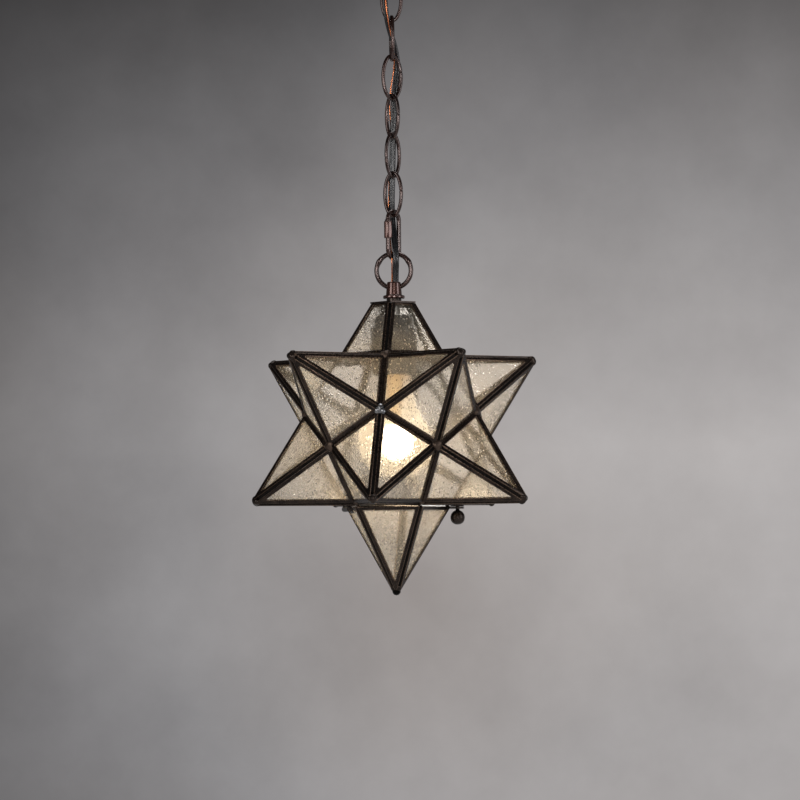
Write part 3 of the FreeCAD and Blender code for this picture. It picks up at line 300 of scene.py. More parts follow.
# painted shade: the dark seeds and the specks between them get this dark diffuse colour
shadow = node(tree, "BsdfDiffuse", inputs={"Color": (0.10, 0.085, 0.07, 1)})
hazed = node(tree, "MixShader", inputs={0: haze_share, 1: film.outputs[0], 2: haze.outputs[0]})
specked = node(tree, "MixShader", inputs={0: painted_shade_share, 1: hazed.outputs[0], 2: shadow.outputs[0]})
clear = node(tree, "BsdfTransparent", inputs={"Color": (0.90, 0.90, 0.87, 1)})
paths = node(tree, "LightPath")
through = math_node(tree, "MAXIMUM", paths.outputs["Is Shadow Ray"], paths.outputs["Is Diffuse Ray"])
# behind four panes the rest are passed straight, so that no view through many panes goes black
deep = math_node(tree, "GREATER_THAN", paths.outputs["Transmission Depth"], SURFACES_OF_FOUR_PANES)
through = math_node(tree, "MAXIMUM", through, deep)
both = node(tree, "MixShader", inputs={0: through, 1: specked.outputs[0], 2: clear.outputs[0]})
tree.links.new(both.outputs[0], output.inputs["Surface"])
finish_nodes(glass_names, seeded)


# ------------------------------------------------------------------ patina for came, solder and bronze
# One node group is shared by every metal and by the black plastics: the soft blotches and fine grain
# that dark patina and rubbed bronze lacquer leave.
blotch = bpy.data.node_groups.new("patina_blotches", "ShaderNodeTree")
blotch.interface.new_socket("Vector", in_out="INPUT", socket_type="NodeSocketVector")
blotch.interface.new_socket("Scale", in_out="INPUT", socket_type="NodeSocketFloat")
blotch.interface.new_socket("Blotch", in_out="OUTPUT", socket_type="NodeSocketFloat")
blotch.interface.new_socket("Grain", in_out="OUTPUT", socket_type="NodeSocketFloat")
way_in = blotch.nodes.new("NodeGroupInput")
way_out = blotch.nodes.new("NodeGroupOutput")
large = node(blotch, "TexNoise", inputs={
    "Vector": way_in.outputs["Vector"], "Scale": way_in.outputs["Scale"], "Detail": 4.0, "Roughness": 0.6})
fine_scale = math_node(blotch, "MULTIPLY", way_in.outputs["Scale"], 9.0)
small = node(blotch, "TexNoise", inputs={
    "Vector": way_in.outputs["Vector"], "Scale": fine_scale, "Detail": 3.0, "Roughness": 0.55})
spread = node(blotch, "MapRange", inputs={"Value": large.outputs["Fac"], "From Min": 0.35, "From Max": 0.65})
blotch.links.new(spread.outputs[0], way_out.inputs["Blotch"])
blotch.links.new(small.outputs["Fac"], way_out.inputs["Grain"])


def metal(name, dark, light, scale, rough, bump, metallic=0.85, coat=0.0, edge=None):
    """Patinated metal: colour runs from dark to light over blotches, and to a painted highlight colour on
    edges.
    """
    material, tree, output = new_material(name)
    spot = node(tree, "TexCoord").outputs["Object"]
    group = tree.nodes.new("ShaderNodeGroup")
    group.node_tree = blotch
    group.inputs["Scale"].default_value = scale
    tree.links.new(spot, group.inputs["Vector"])
    colour = mix(tree, group.outputs["Blotch"], dark, light)
    # painted highlight: faces marked by the bevel turn to the lighter edge colour
    if edge:
        edge_highlight_mask = node(tree, "Attribute", attribute_name="painted_edge_highlight")
        highlight_grain = math_node(tree, "ADD", group.outputs["Grain"], 0.25)
        painted_highlight_share = math_node(tree, "MULTIPLY", edge_highlight_mask.outputs["Fac"], highlight_grain, clamp=True)
        colour = mix(tree, painted_highlight_share, colour, edge)
    low, high = rough
    gloss = node(tree, "MapRange", inputs={
        "Value": group.outputs["Grain"], "From Min": 0.3, "From Max": 0.7, "To Min": low, "To Max": high})
    relief = node(tree, "Bump", inputs={"Height": group.outputs["Grain"], "Strength": 0.5, "Distance": bump})
    surface = node(tree, "BsdfPrincipled", inputs={
        "Base Color": colour, "Roughness": gloss.outputs[0], "Metallic": metallic,
        "Coat Weight": coat, "Coat Roughness": 0.2, "Normal": relief.outputs[0]})
    tree.links.new(surface.outputs[0], output.inputs["Surface"])
    return material


# ------------------------------------------------------------------ came frames
# Each pane sits in a frame of thin metal channel with softly rolled edges, black-brown with a
# patina; a lighter brown along the rolled edges is a painted highlight.
ROLLED_EDGE, ROLLED_SEGMENTS = 0.00045, 2
MERGE_DISTANCE = 0.000004
SHARP_ANGLE = math.radians(25)
# the edge colour is a painted highlight along the rolled edges
came_patina = metal("came_patina", (0.012, 0.009, 0.0078), (0.040, 0.028, 0.022), 95.0, (0.20, 0.36), 0.00008,
                    metallic=0.8, edge=(0.15, 0.098, 0.068))
seam_patina = metal("seam_patina", (0.004, 0.0035, 0.003), (0.010, 0.008, 0.007), 150.0, (0.36, 0.52),
                    0.00020, metallic=0.95)


def eased_copy(name, material):
    """A copy of a CAD node with its doubles merged and every sharp edge rolled by a small bevel."""
    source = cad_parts[name]
    mesh = source.data.copy()
    mesh.name = name + "_eased"
    work = bmesh.new()
    work.from_mesh(mesh)
    bmesh.ops.remove_doubles(work, verts=work.verts, dist=MERGE_DISTANCE)
    # the bevel's new faces carry the painted edge highlight
    painted_edge_highlight = work.faces.layers.float.new("painted_edge_highlight")
    joining = [edge for edge in work.edges if len(edge.link_faces) == 2]
    sharp = [edge for edge in joining if edge.calc_face_angle() > SHARP_ANGLE]
    rolled = bmesh.ops.bevel(
        work, geom=sharp, offset=ROLLED_EDGE, segments=ROLLED_SEGMENTS, profile=0.5, affect="EDGES",
        clamp_overlap=True)
    for face in rolled["faces"]:
        face[painted_edge_highlight] = 1.0
        face.smooth = True
    work.to_mesh(mesh)
    work.free()
    mesh.materials.clear()
    mesh.materials.append(material)
    made = bpy.data.objects.new(name + "_eased", mesh)
    bpy.context.scene.collection.objects.link(made)
    return made


for name in [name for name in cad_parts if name.endswith("_came")]:
    eased = eased_copy(name, came_patina)
    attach(eased, "door" if name == "door_came" else "star")
    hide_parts(name)
finish_nodes(["seam_solder", "door_solder"], seam_patina)


# ------------------------------------------------------------------ solder lumps
# A lump of solder closes each place where six frames meet. The front joint and the one behind it get a
# lighter, glossier copy of the dull solder, whose lighter colour is a painted highlight; the rest stay
# dull. Each tip is a rounded, filed cap with the cames' patina.
FRONT_AZIMUTH = -99.05
CORE_CORNER = 0.0752
TIP_BALL = 0.1286
NEIGHBOUR_COSINE, SAME_WAY_COSINE = 0.4, 0.99
DOOR_RIM = -0.7
LUMP_RADIUS, LUMP_HEIGHT = 0.0046, 0.0034
FILED_RADIUS, FILED_HEIGHT, FILED_INWARDS = 0.0032, 0.0022, 0.0009
CAP_RADIUS, CAP_HEIGHT, DOOR_CAP_HEIGHT = 0.0042, 0.0034, 0.0040
dull_solder = metal("dull_solder", (0.040, 0.027, 0.020), (0.115, 0.080, 0.060), 200.0, (0.30, 0.48), 0.00025,
                    metallic=0.8)
# a lit copy of the solder: its lighter grey is a painted highlight
lit_front_solder = metal("lit_front_solder", (0.05, 0.05, 0.052), (0.30, 0.30, 0.31), 150.0, (0.05, 0.15), 0.00050,
                      metallic=0.95)


def grid_object(name, points, wrap_rows=False, material=None, capped=False):
    """A mesh from a grid of points: rows run along the piece, columns close round it.

    A capped piece gets one flat face over its first row and one over its last.
    """
    rows, columns = points.shape[:2]
    index = np.arange(rows * columns).reshape(rows, columns)
    down = np.roll(index, -1, axis=0) if wrap_rows else index[1:]
    here = index if wrap_rows else index[:-1]
    corners = [here, np.roll(here, -1, axis=1), np.roll(down, -1, axis=1), down]
    faces = np.stack(corners, axis=-1).reshape(-1, 4).tolist()
    if capped:
        faces += [index[0, ::-1].tolist(), index[-1].tolist()]
    mesh = bpy.data.meshes.new(name)
    mesh.from_pydata(points.reshape(-1, 3).tolist(), [], faces)
    work = bmesh.new()
    work.from_mesh(mesh)
    bmesh.ops.recalc_face_normals(work, faces=work.faces)
    work.to_mesh(mesh)
    work.free()
    smooth = np.ones(len(mesh.polygons), bool)
    if capped:
        smooth[-2:] = False
        ends = np.empty(len(mesh.edges) * 2, np.int32)
        mesh.edges.foreach_get("vertices", ends)
        ends = ends.reshape(-1, 2)
        on_rim = (ends < columns).all(axis=1) | (ends >= (rows - 1) * columns).all(axis=1)
        mesh.edges.foreach_set("use_edge_sharp", on_rim)
    mesh.polygons.foreach_set("use_smooth", smooth)
    if material:
        mesh.materials.append(material)
    made = bpy.data.objects.new(name, mesh)
    bpy.context.scene.collection.objects.link(made)
    return made


def joined(name, parts):
    """Several objects made one."""
    with bpy.context.temp_override(active_object=parts[0], selected_editable_objects=parts):
        bpy.ops.object.join()
    parts[0].name = name
    return parts[0]


def lump(name, middle, outward, across, high, seed, material):
    """A flattened ball, its axis along outward; a few slow waves make it uneven."""
    outward = np.array(outward, float) / np.linalg.norm(outward)
    side = np.cross(outward, [0.3, 0.2, 1.0])
    side /= np.linalg.norm(side)
    other = np.cross(outward, side)
    polar_angle = np.linspace(0.02, np.pi - 0.02, 14)[:, None]
    turn = np.linspace(0, 2 * np.pi, 24, endpoint=False)[None]
    round_it = 0.13 * np.sin(3 * turn + seed) * np.sin(polar_angle)
    over_it = 0.05 * np.cos(2 * polar_angle + 1.7 * seed)
    uneven = 1 + round_it + over_it
    spread = across * uneven * np.sin(polar_angle)
    rise = high * uneven * np.cos(polar_angle)
    points = (np.array(middle) + rise[..., None] * outward
              + (spread * np.cos(turn))[..., None] * side + (spread * np.sin(turn))[..., None] * other)
    return grid_object(name, points, material=material, capped=True)


star_middle = np.array([0, 0, STAR_CENTRE_Z])


def point_way(height, azimuth):
    """Unit direction at a height and an azimuth in degrees."""
    flat = math.sqrt(max(0.0, 1 - height * height))
    return np.array([flat * math.cos(math.radians(azimuth)), flat * math.sin(math.radians(azimuth)), height])


axis_height = 1 / math.sqrt(5)
tips = [np.array([0, 0, 1.0])]
tips += [point_way(axis_height, FRONT_AZIMUTH + 36 + 72 * count) for count in range(5)]
tips += [point_way(-axis_height, FRONT_AZIMUTH + 72 * count) for count in range(5)]
tips += [np.array([0, 0, -1.0])]
corner_ways = []
for first in range(12):
    for second in range(first + 1, 12):
        for third in range(second + 1, 12):
            trio = [tips[first], tips[second], tips[third]]
            if min(trio[0] @ trio[1], trio[1] @ trio[2], trio[0] @ trio[2]) > NEIGHBOUR_COSINE:
                corner_ways.append(sum(trio) / np.linalg.norm(sum(trio)))
lit_joint_way = tips[1] + tips[5] + tips[6]
lit_joint_way /= np.linalg.norm(lit_joint_way)
lumps = []
for count, way in enumerate(corner_ways):
    # the five at the door's rim are filed low, so that the door can close
    filed = way[2] < DOOR_RIM
    inwards = FILED_INWARDS if filed else 0.0
    radius, high = (FILED_RADIUS, FILED_HEIGHT) if filed else (LUMP_RADIUS, LUMP_HEIGHT)
    # painted highlight: the joint facing the camera and the one behind it take the lit copy
    finish = lit_front_solder if abs(way @ lit_joint_way) > SAME_WAY_COSINE else dull_solder
    middle = star_middle + way * (CORE_CORNER - inwards)
    lumps.append(lump(f"lump_{count}", middle, way, radius, high, count, finish))
joints_solder = joined("joint_solder_lumps", lumps)
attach(joints_solder, "star")
door_middle = star_middle + tips[11] * TIP_BALL
door_cap = lump("door_cap", door_middle, tips[11], CAP_RADIUS, DOOR_CAP_HEIGHT, 2, came_patina)
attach(door_cap, "door")
caps = []
for count, way in enumerate(tips[1:11]):
    middle = star_middle + way * TIP_BALL
    caps.append(lump(f"cap_{count}", middle, way, CAP_RADIUS, CAP_HEIGHT, count + 3, came_patina))
tip_caps = joined("tip_caps", caps)
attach(tip_caps, "star")
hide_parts("tip_solder")


# ------------------------------------------------------------------ bronze chain
# Six oval links bent from 3 mm wire, each with a butt joint in one side. They are lacquered in a
# dark red-brown bronze.
bronze = metal("rubbed_bronze", (0.024, 0.0090, 0.0066), (0.046, 0.0170, 0.0115), 60.0, (0.20, 0.28),
               0.000002, metallic=0.75, coat=1.0)
LINK_YAWS = (0.0, -84.0, 22.0, -53.0, 48.0, -32.5)
FIRST_LINK_TOP, LINK_PITCH = -0.062, 0.0324
LINK_LENGTH, LINK_BREADTH, LINK_WIRE = 0.039, 0.019, 0.0031
BUTT_PLACES = (0.1, 2.9, 0.25, 0.05, 3.3, 0.15)
BUTT_DEPTH, BUTT_HALF_WIDTH = 0.30, 0.00028
LINK_MEAN_RADIUS = 0.014


def wire_loop(name, line, yaw, middle, radius, material, sides=20):
    """A closed wire in an upright plane: its section goes round each point of the line, square to it."""
    along = np.roll(line, -1, axis=0) - np.roll(line, 1, axis=0)
    along /= np.linalg.norm(along, axis=1)[:, None]
    flat = np.array([math.cos(math.radians(yaw)), math.sin(math.radians(yaw)), 0.0])
    up = np.array([0, 0, 1.0])
    across = np.cross(flat, up)
    spots = np.array(middle) + line[:, :1] * flat + line[:, 1:] * up
    outward = along[:, 1:] * flat - along[:, :1] * up
    turn = np.linspace(0, 2 * np.pi, sides, endpoint=False)
    ring = np.cos(turn)[None, :, None] * outward[:, None] + np.sin(turn)[None, :, None] * across
    points = spots[:, None] + ring * np.broadcast_to(radius, (len(line),))[:, None, None]
    return grid_object(name, points[::-1], wrap_rows=True, material=material)


share = np.linspace(0, 2 * np.pi, 240, endpoint=False)
half_breadth, half_length = (LINK_BREADTH - LINK_WIRE) / 2, (LINK_LENGTH - LINK_WIRE) / 2
for count in range(6):
    oval = np.c_[half_breadth * np.cos(share), half_length * np.sin(share)]
    angle_off = np.abs((share - BUTT_PLACES[count] + np.pi) % (2 * np.pi) - np.pi)
    apart = angle_off * LINK_MEAN_RADIUS
    girth = LINK_WIRE / 2 * (1 - BUTT_DEPTH * np.exp(-((apart / BUTT_HALF_WIDTH) ** 2)))
    middle = (0, 0, FIRST_LINK_TOP - LINK_PITCH * count - LINK_LENGTH / 2)
    link = wire_loop(f"bent_link_{count + 1}", oval, LINK_YAWS[count], middle, girth, bronze)
    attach(link, f"link_{count + 1}")
    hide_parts(f"chain_link_{count + 1}")


# ------------------------------------------------------------------ loops with collars
# Two cast loops, each a ring on a tapered collar with a flanged foot: one screws on the canopy's
# stem, the other on the star's.
collar_bronze = metal("collar_bronze", (0.046, 0.0150, 0.0100), (0.082, 0.0280, 0.0185), 60.0, (0.24, 0.32),
                      0.000002, metallic=0.75, coat=1.0)
LOOP_WIRE, LOOP_RADIUS, LOOP_MIDDLE = 0.0039, 0.0143, 0.02325
SWELL_PLACE, SWELL_REACH, SWELL = 0.55, 0.16, 0.20
COLLAR = [(3.5, 8.6), (3.5, 13.9), (5.2, 13.9), (5.75, 13.0), (6.6, 3.4), (6.75, 2.9), (8.3, 2.7), (9.0, 2.2),
          (9.0, 0.6), (8.5, 0.0), (4.95, 0.0), (4.95, 8.6)]
COLLAR_ROUNDING = 0.0005
STAR_LOOP_FOOT, CANOPY_LOOP_FOOT = -0.3301, -0.0299


def turned(name, profile, material, sides=64, middle=(0, 0), closed=False):
    """A turned shape: each (radius, height) of the profile goes round a vertical axis.

    A closed profile runs back to its first point; an open one gets a flat face at each end.
    """
    turn = np.linspace(0, 2 * np.pi, sides, endpoint=False)
    radius, height = np.array(profile, float).T
    points = np.empty((len(radius), sides, 3))
    points[..., 0] = middle[0] + radius[:, None] * np.cos(turn)
    points[..., 1] = middle[1] + radius[:, None] * np.sin(turn)
    points[..., 2] = height[:, None]
    return grid_object(name, points, wrap_rows=closed, material=material, capped=not closed)


def rounded(corners, radius, steps=6):
    """A profile whose inner corners are rounded: near each corner the line follows a curve through it."""
    line = [corners[0]]
    for before, corner, after in zip(corners, corners[1:], corners[2:]):
        before, corner, after = (np.array(spot, float) for spot in (before, corner, after))
        into, out = before - corner, after - corner
        reach = min(radius, np.linalg.norm(into) * 0.45, np.linalg.norm(out) * 0.45)
        start = corner + into / np.linalg.norm(into) * reach
        end = corner + out / np.linalg.norm(out) * reach
        share = np.linspace(0, 1, steps)[:, None]
        line.extend(((1 - share) ** 2 * start + 2 * share * (1 - share) * corner + share**2 * end).tolist())
    line.append(corners[-1])
    return line


def loop(name, foot, up, yaw, body, replaced):
    """A ring on its collar; its wire swells a little at two places on the side away from the collar."""
    sense = 1 if up else -1
    turn = np.linspace(0, 2 * np.pi, 192, endpoint=False)
    near_right = np.exp(-(((turn - SWELL_PLACE) / SWELL_REACH) ** 2))
    near_left = np.exp(-(((turn - (np.pi - SWELL_PLACE)) / SWELL_REACH) ** 2))
    swell = near_right + near_left
    ring_line = np.c_[LOOP_RADIUS * np.cos(turn), LOOP_RADIUS * np.sin(turn) * sense]
    if not up:
        ring_line = ring_line[::-1]
        swell = swell[::-1]
    girth = LOOP_WIRE / 2 * (1 + SWELL * swell)
    ring_middle = (0, 0, foot + sense * LOOP_MIDDLE)
    ring = wire_loop(name + "_ring", ring_line, yaw, ring_middle, girth, bronze, sides=24)
    corners = [(radius * MM, foot + sense * height * MM) for radius, height in COLLAR]
    if up:
        corners = corners[::-1]
    collar = turned(name + "_collar", rounded(corners, COLLAR_ROUNDING), collar_bronze, 72, closed=True)
    whole = joined(name, [ring, collar])
    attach(whole, body)
    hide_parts(replaced)
    return whole


loop("star_ring_and_collar", STAR_LOOP_FOOT, True, -8.0, "star", "star_loop")
loop("canopy_ring_and_collar", CANOPY_LOOP_FOOT, False, 90.0, "ceiling_mount", "canopy_loop")


# ------------------------------------------------------------------ quick link
# An oval of bent rod with a hexagonal sleeve on its left arm, screwed up against a shoulder. The
# mouth that the sleeve covers on the real link isn't cut here: the rod runs through it unbroken.
QUICK_MIDDLE, QUICK_YAW = -0.2772, 55.0
QUICK_ARM, QUICK_RUN, QUICK_WIRE = 0.00775, 0.01185, 0.0038
THREAD_LOW, THREAD_HIGH, THREAD_RADIUS = 0.0107, 0.0121, 0.0026
SLEEVE_LOW, SLEEVE_LENGTH = QUICK_MIDDLE - 0.00335, 0.0140
SLEEVE_BORE, SLEEVE_HALF_WIDTH, SLEEVE_CORNER = 0.0020, 0.0032, 0.00366
SLEEVE_SIDES = 96
WHOLE = 1.0
# the sleeve's levels: how far its section may reach out, and the height over its lower end
SLEEVE_LEVELS = [
    (SLEEVE_BORE, 0.0), (0.0027, 0.0), (0.0031, 0.00005), (WHOLE, 0.0006), (WHOLE, SLEEVE_LENGTH - 0.0006),
    (0.0031, SLEEVE_LENGTH - 0.00005), (0.0027, SLEEVE_LENGTH), (SLEEVE_BORE, SLEEVE_LENGTH),
    (SLEEVE_BORE, SLEEVE_LENGTH - 0.0001), (SLEEVE_BORE, 0.0001)]
bend = np.linspace(0, np.pi, 49)
run = np.linspace(0, 1, 30)[1:-1]
top_bend = np.c_[QUICK_ARM * np.cos(bend), QUICK_RUN + QUICK_ARM * np.sin(bend)]
left_run = np.c_[np.full(len(run), -QUICK_ARM), QUICK_RUN - 2 * QUICK_RUN * run]
foot_bend = np.c_[-QUICK_ARM * np.cos(bend), -QUICK_RUN - QUICK_ARM * np.sin(bend)]
right_run = np.c_[np.full(len(run), QUICK_ARM), -QUICK_RUN + 2 * QUICK_RUN * run]
quick_line = np.vstack([top_bend, left_run, foot_bend, right_run])
quick_girth = np.full(len(quick_line), QUICK_WIRE / 2)
level = quick_line[:, 1]
on_left = (quick_line[:, 0] < -QUICK_ARM * 0.9) & (level > THREAD_LOW) & (level < THREAD_HIGH)
quick_girth[on_left] = THREAD_RADIUS
quick_spot = (0, 0, QUICK_MIDDLE)
quick = wire_loop("quick_link_rod", quick_line, QUICK_YAW, quick_spot, quick_girth, bronze, sides=22)
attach(quick, "quick_link_body")
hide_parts("quick_link")
yaw = math.radians(QUICK_YAW)
sleeve_spot = (-QUICK_ARM * math.cos(yaw), -QUICK_ARM * math.sin(yaw))
turn = np.linspace(0, 2 * np.pi, SLEEVE_SIDES, endpoint=False)
hexagon = SLEEVE_HALF_WIDTH / np.cos((turn + np.pi / 6) % (np.pi / 3) - np.pi / 6)
hexagon = np.minimum(hexagon, SLEEVE_CORNER)
rows = []
for limit, height in SLEEVE_LEVELS:
    reach = np.minimum(hexagon, limit)
    flat = np.c_[sleeve_spot[0] + reach * np.cos(turn), sleeve_spot[1] + reach * np.sin(turn)]
    rows.append(np.c_[flat, np.full(SLEEVE_SIDES, SLEEVE_LOW + height)])
sleeve = grid_object("hexagon_sleeve", np.array(rows), wrap_rows=True, material=collar_bronze)
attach(sleeve, "sleeve")
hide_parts("quick_link_sleeve")


# ------------------------------------------------------------------ canopy
# A spun steel dish lacquered bronze, with a rolled rim against the ceiling; it hides the crossbar,
# screws and nuts.
CANOPY = [
    (63.4, -0.4), (63.4, -2.2), (62.6, -3.6), (60.6, -5.2), (57.0, -9.5), (48.0, -17.5), (34.0, -23.6),
    (18.0, -26.6), (11.5, -27.0), (5.3, -27.0), (5.3, -26.0), (11.4, -25.95), (17.9, -25.55), (33.6, -22.6),
    (47.3, -16.6), (56.1, -8.9), (59.8, -4.6), (61.6, -3.2), (62.4, -2.0), (62.4, -0.4)]
CANOPY_ROUNDING = 0.0016
canopy_corners = [(radius * MM, height * MM) for radius, height in CANOPY]
canopy_line = rounded(canopy_corners, CANOPY_ROUNDING, 5)
canopy = turned("spun_canopy", canopy_line, bronze, 128, closed=True)
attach(canopy, "ceiling_mount")
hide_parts("canopy_cover")


# ------------------------------------------------------------------ small fittings
# Threaded stems, nuts and the crossbar are zinc plated; the spacers, top plate, hinge, lugs and
# thumbscrew carry the star's dark patina. The lamp holder is black moulded phenolic, and its shell
# and contact are brass, like the bulb's base.
KNOB = [
    (0.02, 1.2), (2.2, 1.45), (4.3, 2.7), (5.4, 4.4), (5.9, 6.4), (6.0, 6.95), (5.75, 7.2), (6.0, 7.45),
    (5.9, 8.0), (5.3, 10.0), (4.0, 11.8), (2.3, 12.8), (1.6, 13.2), (1.6, 18.4), (0.02, 18.4)]
HOLDER = [
    (5.0, 49.5), (12.5, 49.5), (14.6, 48.4), (15.4, 46.0), (15.6, 42.0), (17.4, 40.0), (18.3, 38.6),
    (18.45, 36.0), (18.45, 21.0), (17.9, 20.3), (17.9, 18.9), (18.45, 18.2), (18.45, 2.0), (17.9, 0.3),
    (17.2, 0.0), (15.6, 0.0), (15.3, 0.6), (15.3, 27.5), (0.02, 27.5)]
dark_metal = metal("dark_patina", (0.018, 0.014, 0.012), (0.060, 0.045, 0.038), 90.0, (0.2, 0.36), 0.00006)
zinc = metal("zinc_plate", (0.30, 0.30, 0.31), (0.44, 0.44, 0.43), 70.0, (0.3, 0.45), 0.00003, metallic=0.95)
brass = metal("plain_brass", (0.52, 0.34, 0.13), (0.66, 0.46, 0.20), 60.0, (0.25, 0.4), 0.00003,
              metallic=0.95)
phenolic = metal("phenolic", (0.018, 0.016, 0.015), (0.034, 0.030, 0.028), 50.0, (0.35, 0.5), 0.00004,
                 metallic=0.0)
finish_nodes(["hinge_fixed_knuckles", "hinge_door_knuckle", "hinge_pin", "fixed_lug", "door_lug", "top_plate",
              "canopy_spacer", "stem_spacer"], dark_metal)
finish_nodes(["crossbar", "box_screws", "canopy_nuts", "star_stem", "canopy_stem", "stem_nut"], zinc)
finish_nodes(["bulb_base", "socket_screw_shell", "socket_contact"], brass)
low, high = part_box("door_thumbscrew")
knob_spot = ((low[0] + high[0]) / 2, (low[1] + high[1]) / 2)
knob_line = [(radius * MM, low[2] + height * MM) for radius, height in KNOB]
knob = turned("ball_thumbscrew", knob_line, dark_metal, 40, knob_spot)
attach(knob, "thumbscrew")
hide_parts("door_thumbscrew")
low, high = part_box("socket_body")
holder_line = [(radius * MM, low[2] + height * MM) for radius, height in HOLDER[::-1]]
holder = turned("lamp_holder", holder_line, phenolic, 72)
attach(holder, "star")
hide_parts("socket_body")


# ------------------------------------------------------------------ bulb
# A soft white bulb: a thin frosted globe on a brass screw base. Inside, a small bright core stands
# for the glowing light source; the frosting spreads it.
bulb_low, bulb_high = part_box("bulb_glass")[0][2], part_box("bulb_glass")[1][2]
BULB_RADIUS, NECK_RADIUS, BULB_WALL = 0.0300, 0.0130, 0.0010
GLOBE_SWEEP, NECK_CURVE = 122, 1.9
WARM_FROM_Z, WARM_TO_Z = -0.425, -0.395
ENVELOPE_GLOW, CORE_GLOW = 0.16, 12.5
GLOW_RADIUS, GLOW_HALF_HEIGHT, GLOW_BELOW_MIDDLE = 0.0135, 0.0138, 0.0010


def bulb_side(inset):
    """Half of the bulb's outline: a round globe that runs into the neck on a smooth curve."""
    radius = BULB_RADIUS - inset
    sweep = np.radians(np.linspace(0.4, GLOBE_SWEEP, 40))
    globe = np.c_[radius * np.sin(sweep), bulb_low + BULB_RADIUS - radius * np.cos(sweep)]
    rise = np.linspace(0, 1, 16)[1:]
    start, end = globe[-1], np.array([NECK_RADIUS - inset, bulb_high])
    neck_radius = start[0] + (end[0] - start[0]) * (1 - (1 - rise) ** NECK_CURVE)
    neck = np.c_[neck_radius, start[1] + (end[1] - start[1]) * rise]
    return np.vstack([globe, neck])


frosted, tree, output = new_material("frosted_bulb_glass")
spot = node(tree, "TexCoord").outputs["Object"]
frost = node(tree, "TexNoise", inputs={"Vector": spot, "Scale": 900.0, "Detail": 2.0})
grit = node(tree, "MapRange", inputs={"Value": frost.outputs["Fac"], "To Min": 0.28, "To Max": 0.42})
level = node(tree, "SeparateXYZ", inputs={"Vector": spot})
warm = node(tree, "MapRange", inputs={
    "Value": level.outputs["Z"], "From Min": WARM_FROM_Z, "From Max": WARM_TO_Z,
    "To Min": 1.0, "To Max": 0.25})
warmth = mix(tree, warm.outputs[0], (0.35, 0.17, 0.06), (1.0, 0.76, 0.48))
envelope = node(tree, "BsdfPrincipled", inputs={
    "Base Color": (0.97, 0.95, 0.90, 1), "Roughness": grit.outputs[0], "IOR": 1.2, "Transmission Weight": 1.0,
    "Emission Color": warmth, "Emission Strength": ENVELOPE_GLOW})
clear = node(tree, "BsdfTransparent", inputs={"Color": (0.95, 0.93, 0.88, 1)})
paths = node(tree, "LightPath")
both = node(tree, "MixShader", inputs={
    0: paths.outputs["Is Shadow Ray"], 1: envelope.outputs[0], 2: clear.outputs[0]})
tree.links.new(both.outputs[0], output.inputs["Surface"])
outline = np.vstack([bulb_side(0.0), bulb_side(BULB_WALL)[::-1]])
bulb = turned("bulb_envelope", outline, frosted, 72)
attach(bulb, "bulb")
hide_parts("bulb_glass")
glow, tree, output = new_material("glowing_core")
spot = node(tree, "TexCoord").outputs["Object"]
flicker = node(tree, "TexNoise", inputs={"Vector": spot, "Scale": 200.0})
white = ramp(tree, flicker.outputs["Fac"], [(0.3, (1.0, 0.78, 0.52)), (0.7, (1.0, 0.84, 0.62))])
surface = node(tree, "BsdfPrincipled", inputs={
    "Base Color": (0.9, 0.88, 0.84, 1), "Roughness": 0.4, "Emission Color": white,
    "Emission Strength": CORE_GLOW})
tree.links.new(surface.outputs[0], output.inputs["Surface"])
core_turn = np.radians(np.linspace(2, 178, 24))
core_middle = bulb_low + BULB_RADIUS - GLOW_BELOW_MIDDLE
core_side = np.c_[GLOW_RADIUS * np.sin(core_turn), core_middle - GLOW_HALF_HEIGHT * np.cos(core_turn)]
core = turned("glowing_core", core_side, glow, 40)
post_side = [(0.0042, core_middle + 0.0130), (0.0050, core_middle + 0.023), (0.0085, bulb_high + 0.001)]
post = turned("core_post", post_side, brass, 32)
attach(core, "bulb")
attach(post, "bulb")


# ------------------------------------------------------------------ supply cord and ground wire
# A black flat twin cord and a bare copper ground wire, threaded down through the chain from the
# canopy's stem into the star's. Each is cut where links are at mid-length.
cord_vinyl = metal("cord_vinyl", (0.005, 0.005, 0.006), (0.010, 0.010, 0.012), 40.0, (0.22, 0.32), 0.000004,
                   metallic=0.0, coat=0.1)
copper = metal("bare_copper", (0.50, 0.15, 0.06), (0.70, 0.26, 0.12), 60.0, (0.20, 0.34), 0.00001,
               metallic=0.95)
# the route's points, in mm: their levels, then each one's place beside the chain's axis
ROUTE_TOP, BELOW_COLLAR, ABOVE_COLLAR, ROUTE_FOOT = -5.0, -47.8, -313.2, -349.3
ROUTE_LEVELS = (-65.1, -97.5, -129.9, -162.3, -194.7, -227.1, -259.5, -294.5)
CORD_OFFSETS = (
    (-5.2, -4.5), (-5.4, -5.6), (6.0, 7.4), (1.4, 5.4), (0.2, 6.6), (-0.6, 5.6), (-1.6, 8.7), (2.3, -7.3))
GROUND_OFFSETS = (
    (-6.1, -7.7), (-4.0, -8.8), (3.6, 4.9), (-3.0, 7.3), (-1.0, 8.9), (-2.9, 7.1), (-4.4, 12.1), (-1.3, -6.5))
CORD_ENTRY, GROUND_ENTRY = 1.3, -1.6
CORD_FACING = (-49, -49, -49, -44, -39, -15, -2, 6, 10, 17, 17, 17)
CUTS = (-83.5, -115.7, -148.1, -180.5, -212.9, -245.3, -279.1)
CORD_WIDTH, WEB = 0.0052, 0.0008
GROUND_DIAMETER = 0.0011


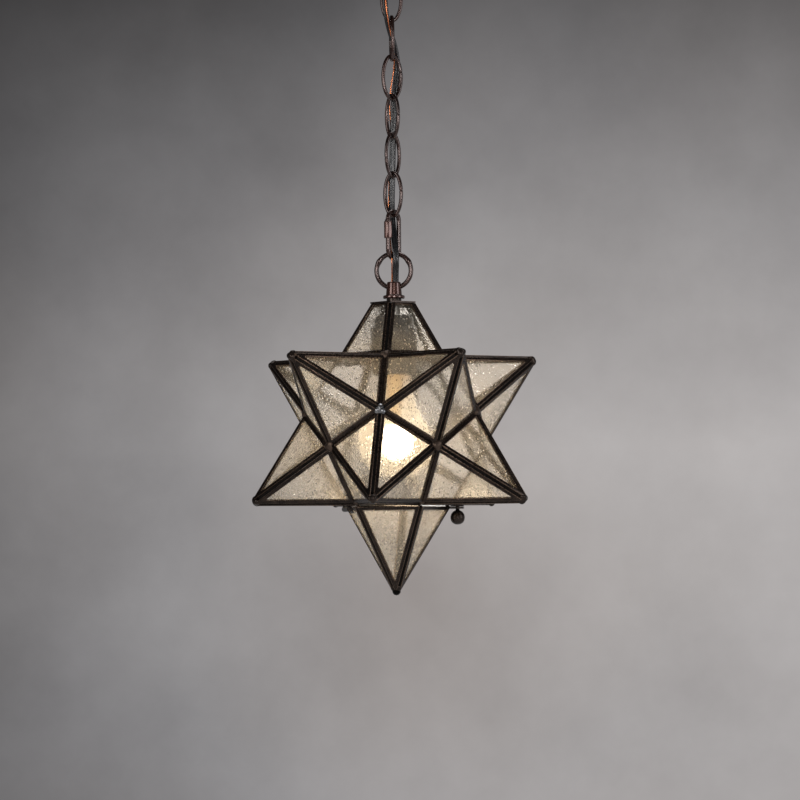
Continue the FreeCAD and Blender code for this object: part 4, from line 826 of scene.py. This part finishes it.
def routed_line(name, entry_x, offsets):
    """Points read from a NURBS spline whose control points are the route's, in metres."""
    controls = [(entry_x, 0.0, ROUTE_TOP), (entry_x, 0.0, BELOW_COLLAR)]
    controls += [(x, y, level) for (x, y), level in zip(offsets, ROUTE_LEVELS)]
    controls += [(entry_x, 0.0, ABOVE_COLLAR), (entry_x, 0.0, ROUTE_FOOT)]
    curve = bpy.data.curves.new(name, "CURVE")
    curve.dimensions = "3D"
    curve.resolution_u = 24
    spline = curve.splines.new("NURBS")
    spline.points.add(len(controls) - 1)
    for point, (x, y, z) in zip(spline.points, controls):
        point.co = (x * MM, y * MM, z * MM, 1.0)
    spline.order_u = 3
    spline.use_endpoint_u = True
    holder = bpy.data.objects.new(name, curve)
    line = bpy.data.meshes.new_from_object(holder)
    spots = np.zeros(len(line.vertices) * 3)
    line.vertices.foreach_get("co", spots)
    bpy.data.objects.remove(holder)
    return spots.reshape(-1, 3), [z * MM for x, y, z in controls]


def threaded_cord(name, entry_x, offsets, section, facing, replaced, material):
    """A section carried along the route, its wide side turned to the facing, in eight lengths.

    At each point the section stands square to the line: its wide direction is the facing less its
    share along the line, and its narrow direction is square to both.
    """
    spots, levels = routed_line(name, entry_x, offsets)
    along = np.gradient(spots, axis=0)
    along /= np.linalg.norm(along, axis=1)[:, None]
    angle = np.radians(np.interp(-spots[:, 2], -np.array(levels), facing))
    wide = np.c_[np.cos(angle), np.sin(angle), np.zeros(len(spots))]
    wide -= (wide * along).sum(axis=1)[:, None] * along
    wide /= np.linalg.norm(wide, axis=1)[:, None]
    narrow = np.cross(along, wide)
    rim = section[None, :, :1] * wide[:, None] + section[None, :, 1:] * narrow[:, None]
    points = spots[:, None] + rim
    cut_places = [int(np.argmin(np.abs(spots[:, 2] - cut * MM))) for cut in CUTS]
    places = [0] + cut_places + [len(spots) - 1]
    for count, (first, last) in enumerate(zip(places, places[1:])):
        piece = grid_object(f"{name}_{count + 1}", points[first:last + 1], material=material, capped=True)
        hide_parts(replaced)
        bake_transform(piece)


around = np.linspace(0, 2 * np.pi, 36, endpoint=False)
reach = np.maximum(CORD_WIDTH / 2 * np.abs(np.cos(around)), WEB)
twin = np.c_[reach * np.cos(around), reach * np.sin(around)]
threaded_cord("twin_cord", CORD_ENTRY, CORD_OFFSETS, twin, CORD_FACING,
              "supply_cord", cord_vinyl)
around = np.linspace(0, 2 * np.pi, 14, endpoint=False)
round_wire = GROUND_DIAMETER / 2 * np.c_[np.cos(around), np.sin(around)]
unturned = [0] * len(CORD_FACING)
threaded_cord("bare_ground", GROUND_ENTRY, GROUND_OFFSETS, round_wire, unturned,
              "ground_wire", copper)
